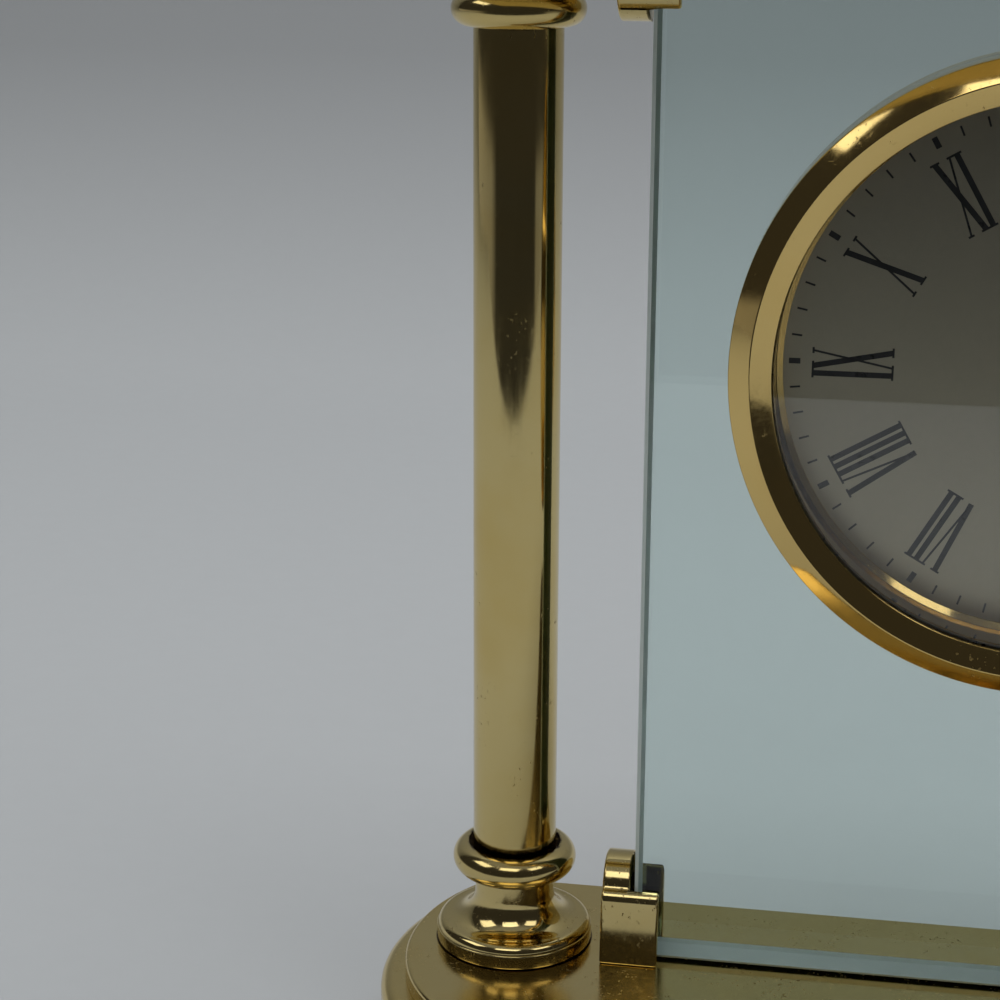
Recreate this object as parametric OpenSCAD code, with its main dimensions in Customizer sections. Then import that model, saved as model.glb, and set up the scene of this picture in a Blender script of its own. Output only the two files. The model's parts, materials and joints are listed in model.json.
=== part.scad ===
// Brass column desk clock: two turned columns carry a top over a stepped base,
// and a thick glass pane between them holds a round clock insert.
// Origin: centre of the underside. X is to the right, the dial faces -Y, Z is up.

/* [Base and top] */
// How far the upper plate reaches beyond the column axes
plate_reach = 16; // [14:0.5:20]
// Depth of the upper plate, front to back
plate_d = 44.8; // [42:0.2:50]
// Thickness of the upper plate
plate_t = 3; // [2.5:0.1:5]
// Radius of the rounded edge of the upper plate
plate_round = 0.7; // [0.4:0.1:1.2]
// Radius in plan of the bowed ends of the upper plate
bow_r = 31; // [28:0.5:40]
// Radius in plan of the corners of the upper plate
corner_r = 5; // [3:0.5:8]
// How far the plinth stands out beyond the upper plate
step_out = 3.8; // [3:0.1:6]
// Height of the plinth under the upper plate
plinth_h = 14; // [13:0.5:20]
// Radius of the rounded upper edge of the plinth
plinth_round = 2.2; // [1:0.1:2.6]
// Wall of the plinth and of the top cap
shell_wall = 2; // [1.6:0.1:3]
// Thickness of the felt under the base
felt_t = 1; // [0.6:0.1:2]
// How far the felt stays in from the plinth's side
felt_inset = 1.2; // [0.8:0.1:3]
// Thickness of the steel plate that closes the plinth
closing_t = 1.2; // [0.8:0.1:2]
// Gap between the cast weight inside the base and the axes of the columns
weight_end_gap = 13.5; // [11:0.5:24]
// Gap between the cast weight and the long sides of the plinth
weight_side_gap = 5.2; // [3:0.1:8]
// Gap above the cast weight inside the plinth
weight_top_gap = 3.4; // [3.2:0.1:6]
// Distance between the two screws that hold the weight
weight_screw_gap = 60; // [40:1:80]
// Height of the cap on the top plate
cap_h = 12; // [8:0.5:16]

/* [Columns] */
// Distance between the two column axes
col_gap = 151; // [148:0.5:154]
// How far the columns and the pane stand behind the middle of the base
set_back = 3; // [2:0.5:4]
// Clear height between the two plates
col_h = 155.5; // [154:0.5:170]
// Diameter of the column tube
shaft_d = 12.7; // [11:0.1:13.4]
// Wall of the column tube
shaft_wall = 1; // [0.6:0.1:1.6]
// Diameter of the foot's rim
rim_d = 24; // [23:0.2:25]
// Height of the foot's rim
rim_h = 2.3; // [2:0.1:3]
// Radius of the bead above the rim
ovolo_r = 1.3; // [1:0.1:1.5]
// Diameter of the neck
neck_d = 12.1; // [11:0.1:12.6]
// Height of the middle of the ring above the neck
ring_z = 13.75; // [13.5:0.05:15]
// Radius of the ring's round section
ring_r = 2.4; // [2.2:0.1:2.6]
// Overall diameter of the ring
ring_d = 18.92; // [18.6:0.02:19.6]
// Gap round the tube where it enters the ring
recess_gap = 0.75; // [0.5:0.05:0.8]
// Depth of that recess
recess_depth = 1.2; // [0.8:0.1:1.6]
// How deep the tube sits in the foot and the capital
socket_depth = 4.1; // [3:0.1:4.2]
// Diameter of the tie rod inside the column
rod_d = 4; // [3:0.5:5]

/* [Pane and clips] */
// Gap between the feet of the columns and the clips
foot_gap = 2.3; // [1:0.1:6]
// Thickness of the glass pane
pane_t = 9.5; // [8:0.1:10]
// Gap above and below the pane
pane_gap = 0.5; // [0.3:0.1:0.8]
// Width of the polished arris on the pane's edges
arris = 0.6; // [0.3:0.1:1]
// Width of a clip along the pane
clip_w = 8.75; // [8:0.05:10]
// Depth of a clip, front to back
clip_d = 14.5; // [14:0.1:16]
// Height of a clip's straight side, below its round top
clip_side_h = 8.05; // [7.5:0.05:10]
// Thickness of a clip's closed end
clip_end_t = 4.3; // [4:0.1:4.6]
// Height of a clip's short jaw
short_jaw_h = 10.8; // [10:0.1:12]
// Thickness of the clear liner beside the pane
liner_t = 0.35; // [0.2:0.05:0.5]
// Thickness of the clear liner at the pane's edge
liner_end_t = 0.6; // [0.4:0.05:0.8]
// Height of the liner
liner_h = 9.6; // [8:0.1:9.8]
// Diameter of the screws that hold the clips
clip_screw_d = 2.5; // [2:0.1:2.6]

/* [Dial insert] */
// Height of the dial's centre above the base
dial_rise = 94.3; // [92:0.1:98]
// Height of the bezel's outer wall in front of the glass
bezel_side = 7.2; // [7:0.1:8]
// Width of the slope outside the bezel's crest
outer_slope_w = 3; // [2:0.1:5]
// Height of the crest in front of the glass
crest_h = 9.25; // [9:0.05:10]
// Width of the slope inside the crest
inner_slope_w = 3; // [2:0.1:5]
// How far the bezel's lip covers the edge of the lens
lip_cover = 0.8; // [0.6:0.05:1.2]
// Height of the opening's edge in front of the glass
sight_h = 7.8; // [7.7:0.1:8.4]
// Thickness of the bezel's lip at the opening
lip_t = 0.7; // [0.5:0.1:1]
// Thickness of the lens
lens_t = 1.5; // [1:0.1:2]
// Thickness of the gasket behind the lens
lens_gasket_t = 0.5; // [0.3:0.1:0.8]
// Gap between the corners of the movement and the ledge in the case
case_room = 0.2; // [0.1:0.05:1]
// Wall of the case
case_wall = 1; // [0.8:0.05:1.1]
// Gap between the movement and the back cover
back_room = 3; // [2.2:0.1:5]
// Radial gap between the case and the hole in the pane
pane_hole_gap = 0.4; // [0.2:0.05:0.8]
// Thickness of the gaskets on both sides of the pane
pane_gasket_t = 0.3; // [0.2:0.05:0.5]
// Depth of the dial's face behind the pane's front
dial_depth = 1.95; // [1.8:0.05:2.2]
// Thickness of the dial
dial_t = 0.8; // [0.5:0.1:1]
// Width of the ring that holds the dial down
hold_ring_w = 0.8; // [0.6:0.05:1.2]
// Width of the ledge that the dial lies on
ledge_w = 0.7; // [0.5:0.05:0.75]
// How far the ring nut reaches beyond the case
ring_nut_w = 4.5; // [3:0.1:6]
// Height of the ring nut
ring_nut_h = 4; // [3:0.1:5]
// Width of the spanner notches in the ring nut
notch_w = 5; // [3:0.5:8]
// Thickness of the back cover
cover_t = 1; // [0.8:0.1:1.5]
// Depth of the back cover's skirt inside the case
skirt_h = 2; // [1:0.1:2.4]

/* [Movement] */
// Room for the contact at each end of the battery
contact_room = 1.8; // [1.4:0.1:2.4]
// Gap between the battery and the lower wall of the movement case
cell_gap = 0.8; // [0.7:0.1:2]
// Corner radius of the movement case
box_r = 6; // [4:0.1:8]
// Gap between the rotor and its boss on the rear wall
rotor_gap = 0.75; // [0.4:0.05:2]
// Wall of the movement case
box_wall = 1.2; // [1:0.05:1.3]
// Diameter of the threaded boss through the dial
boss_d = 8; // [7.6:0.1:9]
// Diameter of the minute shaft
minute_d = 3.2; // [3:0.1:3.4]
// Wall of the hour pipe
pipe_wall = 0.75; // [0.6:0.05:0.8]
// Running clearance of shafts in their bores, on the radius
run_gap = 0.05; // [0.04:0.01:0.06]
// Tooth size of the minute and setting wheels
motion_m = 0.5; // [0.48:0.01:0.52]
// Tooth size of the two reduction stages' second mesh
centre_m = 0.35; // [0.34:0.01:0.36]
// Tooth size of the rotor's mesh
rotor_m = 0.3; // [0.29:0.01:0.31]
// Diameter of the battery
cell_d = 14.1; // [12:0.1:15]
// Length of the battery with its button
cell_l = 50; // [46:0.5:56]
// Diameter of the setting knob
knob_d = 8.4; // [7:0.2:9]
// How far the setting knob stands out behind the cover
knob_out = 3.4; // [2:0.1:3.6]

/* [Hands] */
// Length of the minute hand from its centre
minute_l = 31.5; // [28:0.5:33]
// Length of the hour hand from its centre
hour_l = 20.5; // [18:0.5:22]
// Thickness of the hands
hand_t = 0.4; // [0.3:0.05:0.5]
// Minutes past one o'clock that the hands show
shown_min = 20; // [12:1:28]

/* [Hidden] */

// Facets per turn of the bowed ends, the corners and the rounded edges of the slabs
bow_facets = 144;
corner_facets = 48;
edge_facets = 32;
// How far a cutting solid runs past the face it cuts
over = 1;

// Plan of the base
plate_l = col_gap + 2 * plate_reach;
weight_l = col_gap - 2 * weight_end_gap;
weight_d = plate_d + 2 * (step_out - weight_side_gap - shell_wall);
weight_corner_r = 6;

// Heights of the stack, from the felt up
plinth_z = felt_t;
plate_z = plinth_z + plinth_h;
base_top = plate_z + plate_t;
ceiling_z = base_top + col_h;
cap_z = ceiling_z + plate_t;
cap_top = cap_z + cap_h;
cavity_z = plate_z - shell_wall;
weight_z = plinth_z + closing_t;
weight_h = cavity_z - weight_top_gap - weight_z;
weight_top = weight_z + weight_h;
cavity_inset = 4;
screw_r = 1.5;
screw_head_r = 2.8;
screw_bite = 3;
boss_r = 4;
cap_cavity_h = cap_h - shell_wall;
fit_gap = 0.15;

// Column details
shaft_r = shaft_d / 2;
neck_r = neck_d / 2;
rim_r = rim_d / 2;
ring_mid_r = ring_d / 2 - ring_r;
ring_top = ring_z + ring_r;
rim_step = 0.2;
ovolo_x = rim_r - rim_step - ovolo_r;
ovolo_z = rim_h + 0.1;
cove_r = ovolo_x - neck_r;
cove_z = ovolo_z + ovolo_r + cove_r;
recess_floor = ring_top - recess_depth;
socket_z = ring_top - socket_depth;
rod_gap = 0.15;
washer_t = 1;
washer_r = rod_d;
nut_h = 3.2;
nut_r = rod_d + 0.04;
rod_tail = 0.8;
rod_bottom = cavity_z - washer_t - nut_h - rod_tail;
cap_nut_flange_r = 5.4;
cap_nut_flange_h = 0.9;
cap_nut_dome_r = 4.4;
cap_nut_side_h = 1.4;
rod_in_cap = 3.6;

// Pane, clips and their screws
pane_y = set_back;
pane_front_y = pane_y - pane_t / 2;
pane_h = col_h - 2 * pane_gap;
pane_w = col_gap - 2 * (rim_r + foot_gap + clip_end_t + liner_end_t);
clip_slot_x = pane_w / 2 + liner_end_t;
clip_outer_x = clip_slot_x + clip_end_t;
clip_screw_x = clip_slot_x + clip_end_t / 2;
clip_screw_r = clip_screw_d / 2;
clip_screw_depth = 7;
clip_head_r = 2.3;
clip_head_h = 1.5;
screw_gap = 0.05;

// Plan of the movement, round the battery, and of the case round the movement
box_w = cell_l + 2 * (contact_room + box_wall);
inner_half = box_w / 2 - box_wall;
inner_corner_r = box_r - 2;
corner_reach = (box_w / 2 - box_r) * sqrt(2) + box_r;
case_bore_r = corner_reach + case_room + ledge_w;
case_r = case_bore_r + case_wall;
sight_r = case_r - lip_cover;
crest_r = sight_r + inner_slope_w;
bezel_r = crest_r + outer_slope_w;
bezel_bore_r = case_r + run_gap;
pane_hole_r = case_r + pane_hole_gap;
ring_nut_r = case_r + ring_nut_w;
notch_depth = ring_nut_w / 2;
gasket_in = 0.4;
snug = 0.05;
hold_out_r = case_bore_r - snug;
hold_ring_h = 1.05;

// Depths of the insert, forward of the pane's front face
dial_z = base_top + dial_rise;
dial_f = -dial_depth;
dial_back_f = dial_f - dial_t;
lip_f = sight_h - lip_t;
lens_back_f = lip_f - lens_t;
case_front_f = lens_back_f - lens_gasket_t;
rear_gasket_f = -pane_t - pane_gasket_t;
ledge_t = 1;
skirt_t = 1;
cover_notch_r = 6;
knob_hole_gap = 0.5;

// Layers of the movement, from the dial back
box_front_f = dial_back_f;
inner_front_f = box_front_f - box_wall;
layer_gap = 0.2;
hour_wheel_t = 1;
hour_wheel_f = inner_front_f - layer_gap;
motion_f = hour_wheel_f - hour_wheel_t - 0.4;
motion_t = 0.9;
pinion_lap = 0.2;
bridge_f = motion_f - motion_t - 0.55;
bridge_t = 1;
centre_wheel_f = bridge_f - bridge_t - 0.6;
centre_wheel_t = 0.8;
reduction_f = centre_wheel_f - centre_wheel_t - 0.8;
reduction_t = 0.7;
magnet_r = 3;
magnet_f = reduction_f - reduction_t - 1.1;
magnet_h = 3.6;
rear_boss_h = 1.2;
rear_boss_r = 1.5;
inner_back_f = magnet_f - magnet_h - rotor_gap - rear_boss_h;
box_back_f = inner_back_f - box_wall;
case_depth = back_room - box_back_f;
cover_f = -case_depth;
split_f = bridge_f - bridge_t - 2;
bridge_gap = 0.3;
boss_top_f = dial_f + 3.25;
dial_nut_h = 1.6;
dial_nut_r = 6.5;
pipe_bore_r = minute_d / 2 + run_gap;
pipe_r = pipe_bore_r + pipe_wall;
boss_bore_r = pipe_r + run_gap;
hour_hand_f = boss_top_f + 0.6;
pipe_top_f = hour_hand_f + hand_t + 0.3;
minute_hand_f = hour_hand_f + hand_t + 0.8;
arbor_top_f = minute_hand_f + hand_t;
hand_cap_h = 1.1;
// Depth of a pivot's hole in the front wall and the bridge, and of its end in the rear wall
pit = 0.8;
pit_end = 0.3;
end_play = 0.1;
shoulder_gap = 0.3;
// Overlap of two joined shapes of one moulding
merge = 0.2;
pivot_r = 0.5;
arbor_r = 0.8;
centre_arbor_r = 1;
setting_r = 1.5;
knob_f = box_back_f - 2;
knob_top_f = knob_f + 1.4;
knob_ribs = 16;
knob_rib_h = 0.4;
knob_rib_w = 0.7;
knob_end_f = cover_f - cover_t - knob_out;

minute_angle = shown_min * 6;
hour_angle = 30 + shown_min / 2;

// Tooth counts
cannon_n = 12;
minute_n = 36;
setting_n = 12;
minute_pinion_n = 10;
hour_n = 40;
centre_n = 60;
reduction_pinion_n = 10;
reduction_n = 50;
rotor_n = 10;

// Where the arbors stand, seen from the front
motion_dist = motion_m * (cannon_n + minute_n) / 2;
hour_m = 2 * motion_dist / (minute_pinion_n + hour_n);
minute_dir = 60;
setting_dir = 10;
reduction_dir = 150;
rotor_dir = 95;
minute_at = polar(motion_dist, minute_dir);
setting_at = minute_at + polar(motion_m * (minute_n + setting_n) / 2, setting_dir);
reduction_at = polar(centre_m * (centre_n + reduction_pinion_n) / 2, reduction_dir);
rotor_at = reduction_at + polar(rotor_m * (reduction_n + rotor_n) / 2, rotor_dir);
minute_phase = mesh_phase(cannon_n, minute_n, minute_dir, 0);
post_r = 2.2;
post_x = inner_half - post_r - 1.6;
post_top_y = inner_half - post_r - 2;
box_screw_r = 0.8;
box_screw_bite = 2.2;
box_head_r = 1.5;
box_head_h = 1;
cell_r = cell_d / 2;
cell_y = cell_gap + cell_r - inner_half;
cell_f = inner_front_f - cell_r - 0.1;
button_r = 2.7;
button_l = 1;
contact_w = 6;
leaf_t = 0.3;
leaf_reach = 5;
leaf_foot = 0.4;
plus_t = 0.4;
plus_r = 2.4;
bay_wall_y = cell_y + cell_r + 0.3;
bay_wall_t = 0.6;
post_low_y = bay_wall_y + bay_wall_t + post_r + 0.6;

// Electrical parts
board_f = magnet_f - 1.2;
board_t = 0.8;
board_w = 15.8;
board_d = 16.5;
board_at = [4.5, bay_wall_y + bay_wall_t + 1];
chip_at = board_at + [7.5, 7];
chip_r = 3.2;
chip_h = 1.1;
crystal_at = board_at + [5.5, 13.5];
crystal_r = 1.3;
crystal_l = 8;
small_post_r = 1.4;
core_f = magnet_f - 0.6;
core_t = 1;
coil_y = post_top_y;
coil_r = 3.5;
coil_flange_w = 0.4;
coil_x0 = -7.5;
coil_x1 = 14;
core_x0 = -18;
core_x1 = 19.5;
core_w = 3;
stator_leg_w = 5;
stator_t = 0.8;
stator_bore_r = magnet_r + 0.5;
stator_rim_w = 1.2;
stator_arm_w = 2;
stator_coil_gap = 0.5;

// Metals and plastics
brass = "#b59a52";
steel = "#9a9c9e";
dark_plastic = "#2c2c2e";
white_plastic = "#d8d8d2";

function polar(r, a) = [r * cos(a), r * sin(a)];
function arc_points(c, r, a0, a1, n) = [for (i = [0:n]) c + polar(r, a0 + (a1 - a0) * i / n)];
function round_rect(x0, x1, y0, y1, r, n = 8) = concat(
    arc_points([x1 - r, y0 + r], r, -90, 0, n),
    arc_points([x1 - r, y1 - r], r, 0, 90, n),
    arc_points([x0 + r, y1 - r], r, 90, 180, n),
    arc_points([x0 + r, y0 + r], r, 180, 270, n));

// Involute teeth, with the tip and root set for free running
tip_add = 0.8;
root_sub = 1.15;
tooth_play = 0.1;
pressure = 20;
function rolled(r, rb) = r <= rb ? 0 : sqrt(pow(r / rb, 2) - 1) * 180 / PI - acos(rb / r);
function half_tooth(r, n, m) =
    90 / n * (1 - tooth_play)
    + rolled(m * n / 2, m * n / 2 * cos(pressure)) - rolled(r, m * n / 2 * cos(pressure));
function tooth_radii(n, m) = [
    m * n / 2 - root_sub * m, m * n / 2 - 0.35 * m, m * n / 2, m * n / 2 + tip_add * m / 2,
    m * n / 2 + tip_add * m
];
function gear_points(n, m, phase) = [
    for (i = [0:n - 1])
        let (mid = phase + i * 360 / n, rs = tooth_radii(n, m))
            each concat(
                [for (k = [0:4]) polar(rs[k], mid - half_tooth(rs[k], n, m))],
                [for (k = [4:-1:0]) polar(rs[k], mid + half_tooth(rs[k], n, m))])
];
// Tooth phase of a wheel of n2 teeth that meshes with one of n1 teeth, seen in direction dir
function mesh_phase(n1, n2, dir, phase1) = dir + 180 - 180 / n2 + (dir - phase1) * n1 / n2;

module gear(n, m, phase, t) {
    linear_extrude(t) polygon(gear_points(n, m, phase));
}

// A ring or disc of revolution between two radii
module ring(r_in, r_out, h) {
    difference() {
        cylinder(h = h, r = r_out, $fn = 96);
        translate([0, 0, -over]) cylinder(h = h + 2 * over, r = r_in, $fn = 96);
    }
}

// A slab whose plan has straight long sides, bowed ends and round corners, all tangent.
// Its child is the half section, drawn to the right of the axis for the half width $w.
module bow_form(half_l, half_d, end_r, turn_r) {
    arc_x = half_l - end_r;
    corner_y = half_d - turn_r;
    corner_x = arc_x + sqrt(pow(end_r - turn_r, 2) - pow(corner_y, 2));
    turn = asin(corner_y / (end_r - turn_r));
    hull()
        for (side = [0, 1])
            mirror([side, 0, 0]) {
                translate([arc_x, 0, 0])
                    rotate([0, 0, -turn])
                        rotate_extrude(angle = 2 * turn, $fn = bow_facets)
                            let ($w = end_r) children();
                for (back = [0, 1])
                    mirror([0, back, 0])
                        translate([corner_x, corner_y, 0])
                            rotate_extrude($fn = corner_facets)
                                let ($w = turn_r) children();
            }
}

// The outline of the plate, grown by a margin on all sides
module bow_slab(grow) {
    bow_form(plate_l / 2 + grow, plate_d / 2 + grow, bow_r + grow, corner_r + grow) children();
}

module round_top(w, h, r) {
    square([w - r, h]);
    square([w, h - r]);
    translate([w - r, h - r]) circle(r, $fn = edge_facets);
}

module round_both(w, h, r) {
    square([w - r, h]);
    translate([0, r]) square([w, h - 2 * r]);
    for (z = [r, h - r])
        translate([w - r, z]) circle(r, $fn = edge_facets);
}

module at_columns() {
    for (side = [-1, 1])
        at_column(side) children();
}

module at_column(side) {
    translate([side * col_gap / 2, pane_y, 0]) children();
}

// Places the four clips: the upper ones stand on their heads and the right ones are turned round
module at_clip(side, upper) {
    flip = upper ? 180 : 0;
    translate([0, pane_y, upper ? ceiling_z : base_top])
        rotate([flip, 0, side > 0 ? 180 : 0])
            children();
}

module at_dial() {
    translate([0, pane_front_y, dial_z]) rotate([90, 0, 0]) children();
}

// Base

module base_felt() {
    color("#1f2a24") bow_slab(step_out - felt_inset) square([$w, felt_t]);
}

module base_closing_plate() {
    color(steel)
        difference() {
            translate([0, 0, plinth_z]) bow_slab(step_out - shell_wall - fit_gap) square([$w, closing_t]);
            at_weight_screws()
                translate([0, 0, plinth_z])
                    cylinder(h = closing_t, r1 = screw_head_r, r2 = screw_r + screw_gap, $fn = 32);
        }
}

module at_weight_screws() {
    for (side = [-1, 1])
        translate([side * weight_screw_gap / 2, 0, 0]) children();
}

module base_weight() {
    color("#4b4d50")
        difference() {
            translate([0, 0, weight_z])
                linear_extrude(weight_h)
                    polygon(round_rect(
                        -weight_l / 2, weight_l / 2, -weight_d / 2, weight_d / 2, weight_corner_r));
            at_weight_screws()
                translate([0, 0, weight_z - over])
                    cylinder(h = weight_h + 2 * over, r = screw_r + screw_gap, $fn = 32);
        }
}

module base_screws() {
    color(steel)
        at_weight_screws() {
            translate([0, 0, plinth_z])
                cylinder(h = closing_t, r1 = screw_head_r - screw_gap, r2 = screw_r, $fn = 32);
            translate([0, 0, plinth_z])
                cylinder(h = weight_top + screw_bite - plinth_z, r = screw_r, $fn = 32);
        }
}

module base_plinth() {
    color(brass)
        difference() {
            union() {
                difference() {
                    translate([0, 0, plinth_z]) bow_slab(step_out) round_top($w, plinth_h, plinth_round);
                    translate([0, 0, plinth_z - over])
                        bow_slab(step_out - shell_wall) square([$w, plinth_h - shell_wall + over]);
                }
                at_weight_screws()
                    translate([0, 0, weight_top])
                        cylinder(h = plate_z - weight_top - shell_wall / 2, r = boss_r, $fn = 48);
            }
            at_weight_screws()
                translate([0, 0, weight_top - over])
                    cylinder(h = over + screw_bite + fit_gap, r = screw_r + screw_gap, $fn = 32);
            frame_holes(cavity_z - over, plate_z + over);
        }
}

module base_plate() {
    color(brass)
        difference() {
            translate([0, 0, plate_z]) bow_slab(0) round_top($w, plate_t, plate_round);
            frame_holes(plate_z - over, base_top + over);
        }
}

// Holes for the tie rods and the clip screws, between two heights
module frame_holes(z0, z1) {
    rod_holes(z0, z1);
    for (side = [-1, 1])
        translate([side * clip_screw_x, pane_y, z0])
            cylinder(h = z1 - z0, r = clip_screw_r + screw_gap, $fn = 32);
}

module rod_holes(z0, z1) {
    at_columns()
        translate([0, 0, z0]) cylinder(h = z1 - z0, r = rod_d / 2 + rod_gap, $fn = 48);
}

// Columns

// A turned foot; the capital is the same turning upside down
module column_turning() {
    difference() {
        rotate_extrude($fn = 96) {
            difference() {
                union() {
                    square([rim_r, rim_h]);
                    square([rim_r - rim_step, ovolo_z]);
                    translate([ovolo_x, ovolo_z]) circle(ovolo_r, $fn = 48);
                    square([ovolo_x, cove_z]);
                }
                translate([ovolo_x, cove_z]) circle(cove_r, $fn = 96);
            }
            square([neck_r, ring_z]);
            translate([ring_mid_r, ring_z]) circle(ring_r, $fn = 64);
            square([ring_mid_r, ring_top]);
        }
        translate([0, 0, recess_floor]) cylinder(h = recess_depth + over, r = shaft_r + recess_gap, $fn = 64);
        translate([0, 0, socket_z]) cylinder(h = socket_depth + over, r = shaft_r + run_gap, $fn = 64);
        translate([0, 0, -over]) cylinder(h = ring_top + 2 * over, r = rod_d / 2 + rod_gap, $fn = 48);
    }
}

module column_foot(side) {
    color(brass) at_column(side) translate([0, 0, base_top]) column_turning();
}

module column_capital(side) {
    color(brass) at_column(side) translate([0, 0, ceiling_z]) mirror([0, 0, 1]) column_turning();
}

module column_tube(side) {
    color(brass)
        at_column(side)
            translate([0, 0, base_top + socket_z])
                ring(shaft_r - shaft_wall, shaft_r, col_h - 2 * socket_z);
}

module tie_rods() {
    color(steel)
        at_columns()
            translate([0, 0, rod_bottom])
                cylinder(h = cap_top + rod_in_cap - rod_bottom, r = rod_d / 2, $fn = 48);
}

module rod_nuts() {
    color(steel)
        at_columns()
            translate([0, 0, cavity_z - washer_t - nut_h])
                difference() {
                    cylinder(h = nut_h, r = nut_r, $fn = 6);
                    translate([0, 0, -over])
                        cylinder(h = nut_h + 2 * over, r = rod_d / 2 + screw_gap, $fn = 48);
                }
}

module rod_washers() {
    color(steel)
        at_columns()
            translate([0, 0, cavity_z - washer_t]) ring(rod_d / 2 + rod_gap, washer_r + 0.5, washer_t);
}

module cap_nuts() {
    color(brass)
        at_columns()
            translate([0, 0, cap_top])
                difference() {
                    rotate_extrude($fn = 96) {
                        square([cap_nut_flange_r, cap_nut_flange_h]);
                        square([cap_nut_dome_r, cap_nut_flange_h + cap_nut_side_h]);
                        intersection() {
                            translate([0, cap_nut_flange_h + cap_nut_side_h])
                                circle(cap_nut_dome_r, $fn = 64);
                            translate([0, cap_nut_flange_h]) square([cap_nut_dome_r, 2 * cap_nut_dome_r]);
                        }
                    }
                    translate([0, 0, -over])
                        cylinder(h = over + rod_in_cap + fit_gap, r = rod_d / 2 + screw_gap, $fn = 48);
                }
}

// Top

module top_plate() {
    color(brass)
        difference() {
            translate([0, 0, cap_z]) rotate([180, 0, 0]) bow_slab(0) round_top($w, plate_t, plate_round);
            frame_holes(ceiling_z - over, cap_z + over);
        }
}

module top_cap() {
    color(brass)
        difference() {
            translate([0, 0, cap_z]) bow_slab(step_out) round_both($w, cap_h, plinth_round);
            translate([0, 0, cap_z - over]) bow_slab(-cavity_inset) square([$w, cap_cavity_h + over]);
            rod_holes(cap_z - over, cap_top + over);
        }
}

// Pane and clips

module chamfered(w, h, c) {
    polygon([
        [-w / 2 + c, -h / 2], [w / 2 - c, -h / 2], [w / 2, -h / 2 + c], [w / 2, h / 2 - c],
        [w / 2 - c, h / 2], [-w / 2 + c, h / 2], [-w / 2, h / 2 - c], [-w / 2, -h / 2 + c]
    ]);
}

module pane_blank(c) {
    translate([0, pane_y, base_top + col_h / 2])
        intersection() {
            translate([0, 0, -pane_h / 2]) linear_extrude(pane_h) chamfered(pane_w, pane_t, c);
            rotate([90, 0, 0])
                translate([0, 0, -pane_t / 2]) linear_extrude(pane_t) chamfered(pane_w, pane_h, c);
            rotate([90, 0, 90])
                translate([0, 0, -pane_w / 2]) linear_extrude(pane_w) chamfered(pane_t, pane_h, c);
        }
}

module glass_pane() {
    color("#b7d4cf", 0.35)
        difference() {
            pane_blank(arris);
            at_dial()
                translate([0, 0, -pane_t - over]) cylinder(h = pane_t + 2 * over, r = pane_hole_r, $fn = 128);
        }
}

// One casting with a tall jaw and a short jaw, its closed end at the column side
module clip_casting() {
    difference() {
        translate([-clip_outer_x, 0, 0])
            rotate([90, 0, 90])
                linear_extrude(clip_w) {
                    translate([-clip_d / 2, 0]) square([clip_d, clip_side_h]);
                    translate([0, clip_side_h]) circle(clip_d / 2, $fn = 96);
                }
        translate([-clip_slot_x, -pane_t / 2 - liner_t, -over])
            cube([clip_w, pane_t + 2 * liner_t, clip_side_h + clip_d / 2 + 2 * over]);
        translate([-clip_slot_x, -clip_d / 2 - over, short_jaw_h])
            cube([clip_w, clip_d / 2 + over, clip_d]);
        translate([-clip_screw_x, 0, -over])
            cylinder(h = clip_screw_depth + 0.4 + over, r = clip_screw_r + screw_gap, $fn = 32);
    }
}

module clip(side, upper) {
    color(brass) at_clip(side, upper) clip_casting();
}

module clip_liners() {
    color("#e6e8e4", 0.6)
        for (side = [-1, 1], upper = [false, true])
            difference() {
                at_clip(side, upper)
                    translate([-clip_slot_x, -pane_t / 2 - liner_t, 0])
                        cube([clip_w - clip_end_t - 0.6, pane_t + 2 * liner_t, liner_h]);
                pane_blank(0);
            }
}

module clip_screws() {
    color(steel)
        for (side = [-1, 1], upper = [false, true])
            translate([side * clip_screw_x, pane_y, 0])
                if (upper)
                    translate([0, 0, cap_z]) mirror([0, 0, 1]) clip_screw(plate_t);
                else
                    translate([0, 0, cavity_z]) clip_screw(shell_wall + plate_t);
}

module clip_screw(grip) {
    translate([0, 0, -clip_head_h]) cylinder(h = clip_head_h, r = clip_head_r, $fn = 48);
    translate([0, 0, -clip_head_h / 2])
        cylinder(h = clip_head_h / 2 + grip + clip_screw_depth, r = clip_screw_r, $fn = 32);
}

// Clock insert

module bezel() {
    color(brass)
        at_dial()
            rotate_extrude($fn = 128)
                polygon([
                    [bezel_bore_r, pane_gasket_t], [bezel_r, pane_gasket_t], [bezel_r, bezel_side],
                    [crest_r, crest_h], [sight_r, sight_h], [sight_r, lip_f], [bezel_bore_r, lip_f]
                ]);
}

module lens() {
    color("#dfe8ea", 0.25)
        at_dial() translate([0, 0, lens_back_f]) cylinder(h = lens_t, r = case_r, $fn = 128);
}

module lens_gasket() {
    color("#222222") at_dial() translate([0, 0, case_front_f]) ring(case_bore_r + 0.1, case_r, lens_gasket_t);
}

module case_cup() {
    color(brass)
        at_dial()
            difference() {
                translate([0, 0, -case_depth]) cylinder(h = case_depth + case_front_f, r = case_r, $fn = 128);
                translate([0, 0, dial_back_f])
                    cylinder(h = case_front_f - dial_back_f + over, r = case_bore_r, $fn = 128);
                translate([0, 0, -case_depth - over])
                    cylinder(h = case_depth + dial_back_f - ledge_t + over, r = case_bore_r, $fn = 128);
                translate([0, 0, -case_depth]) cylinder(h = case_depth, r = case_bore_r - ledge_w, $fn = 128);
            }
}

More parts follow.
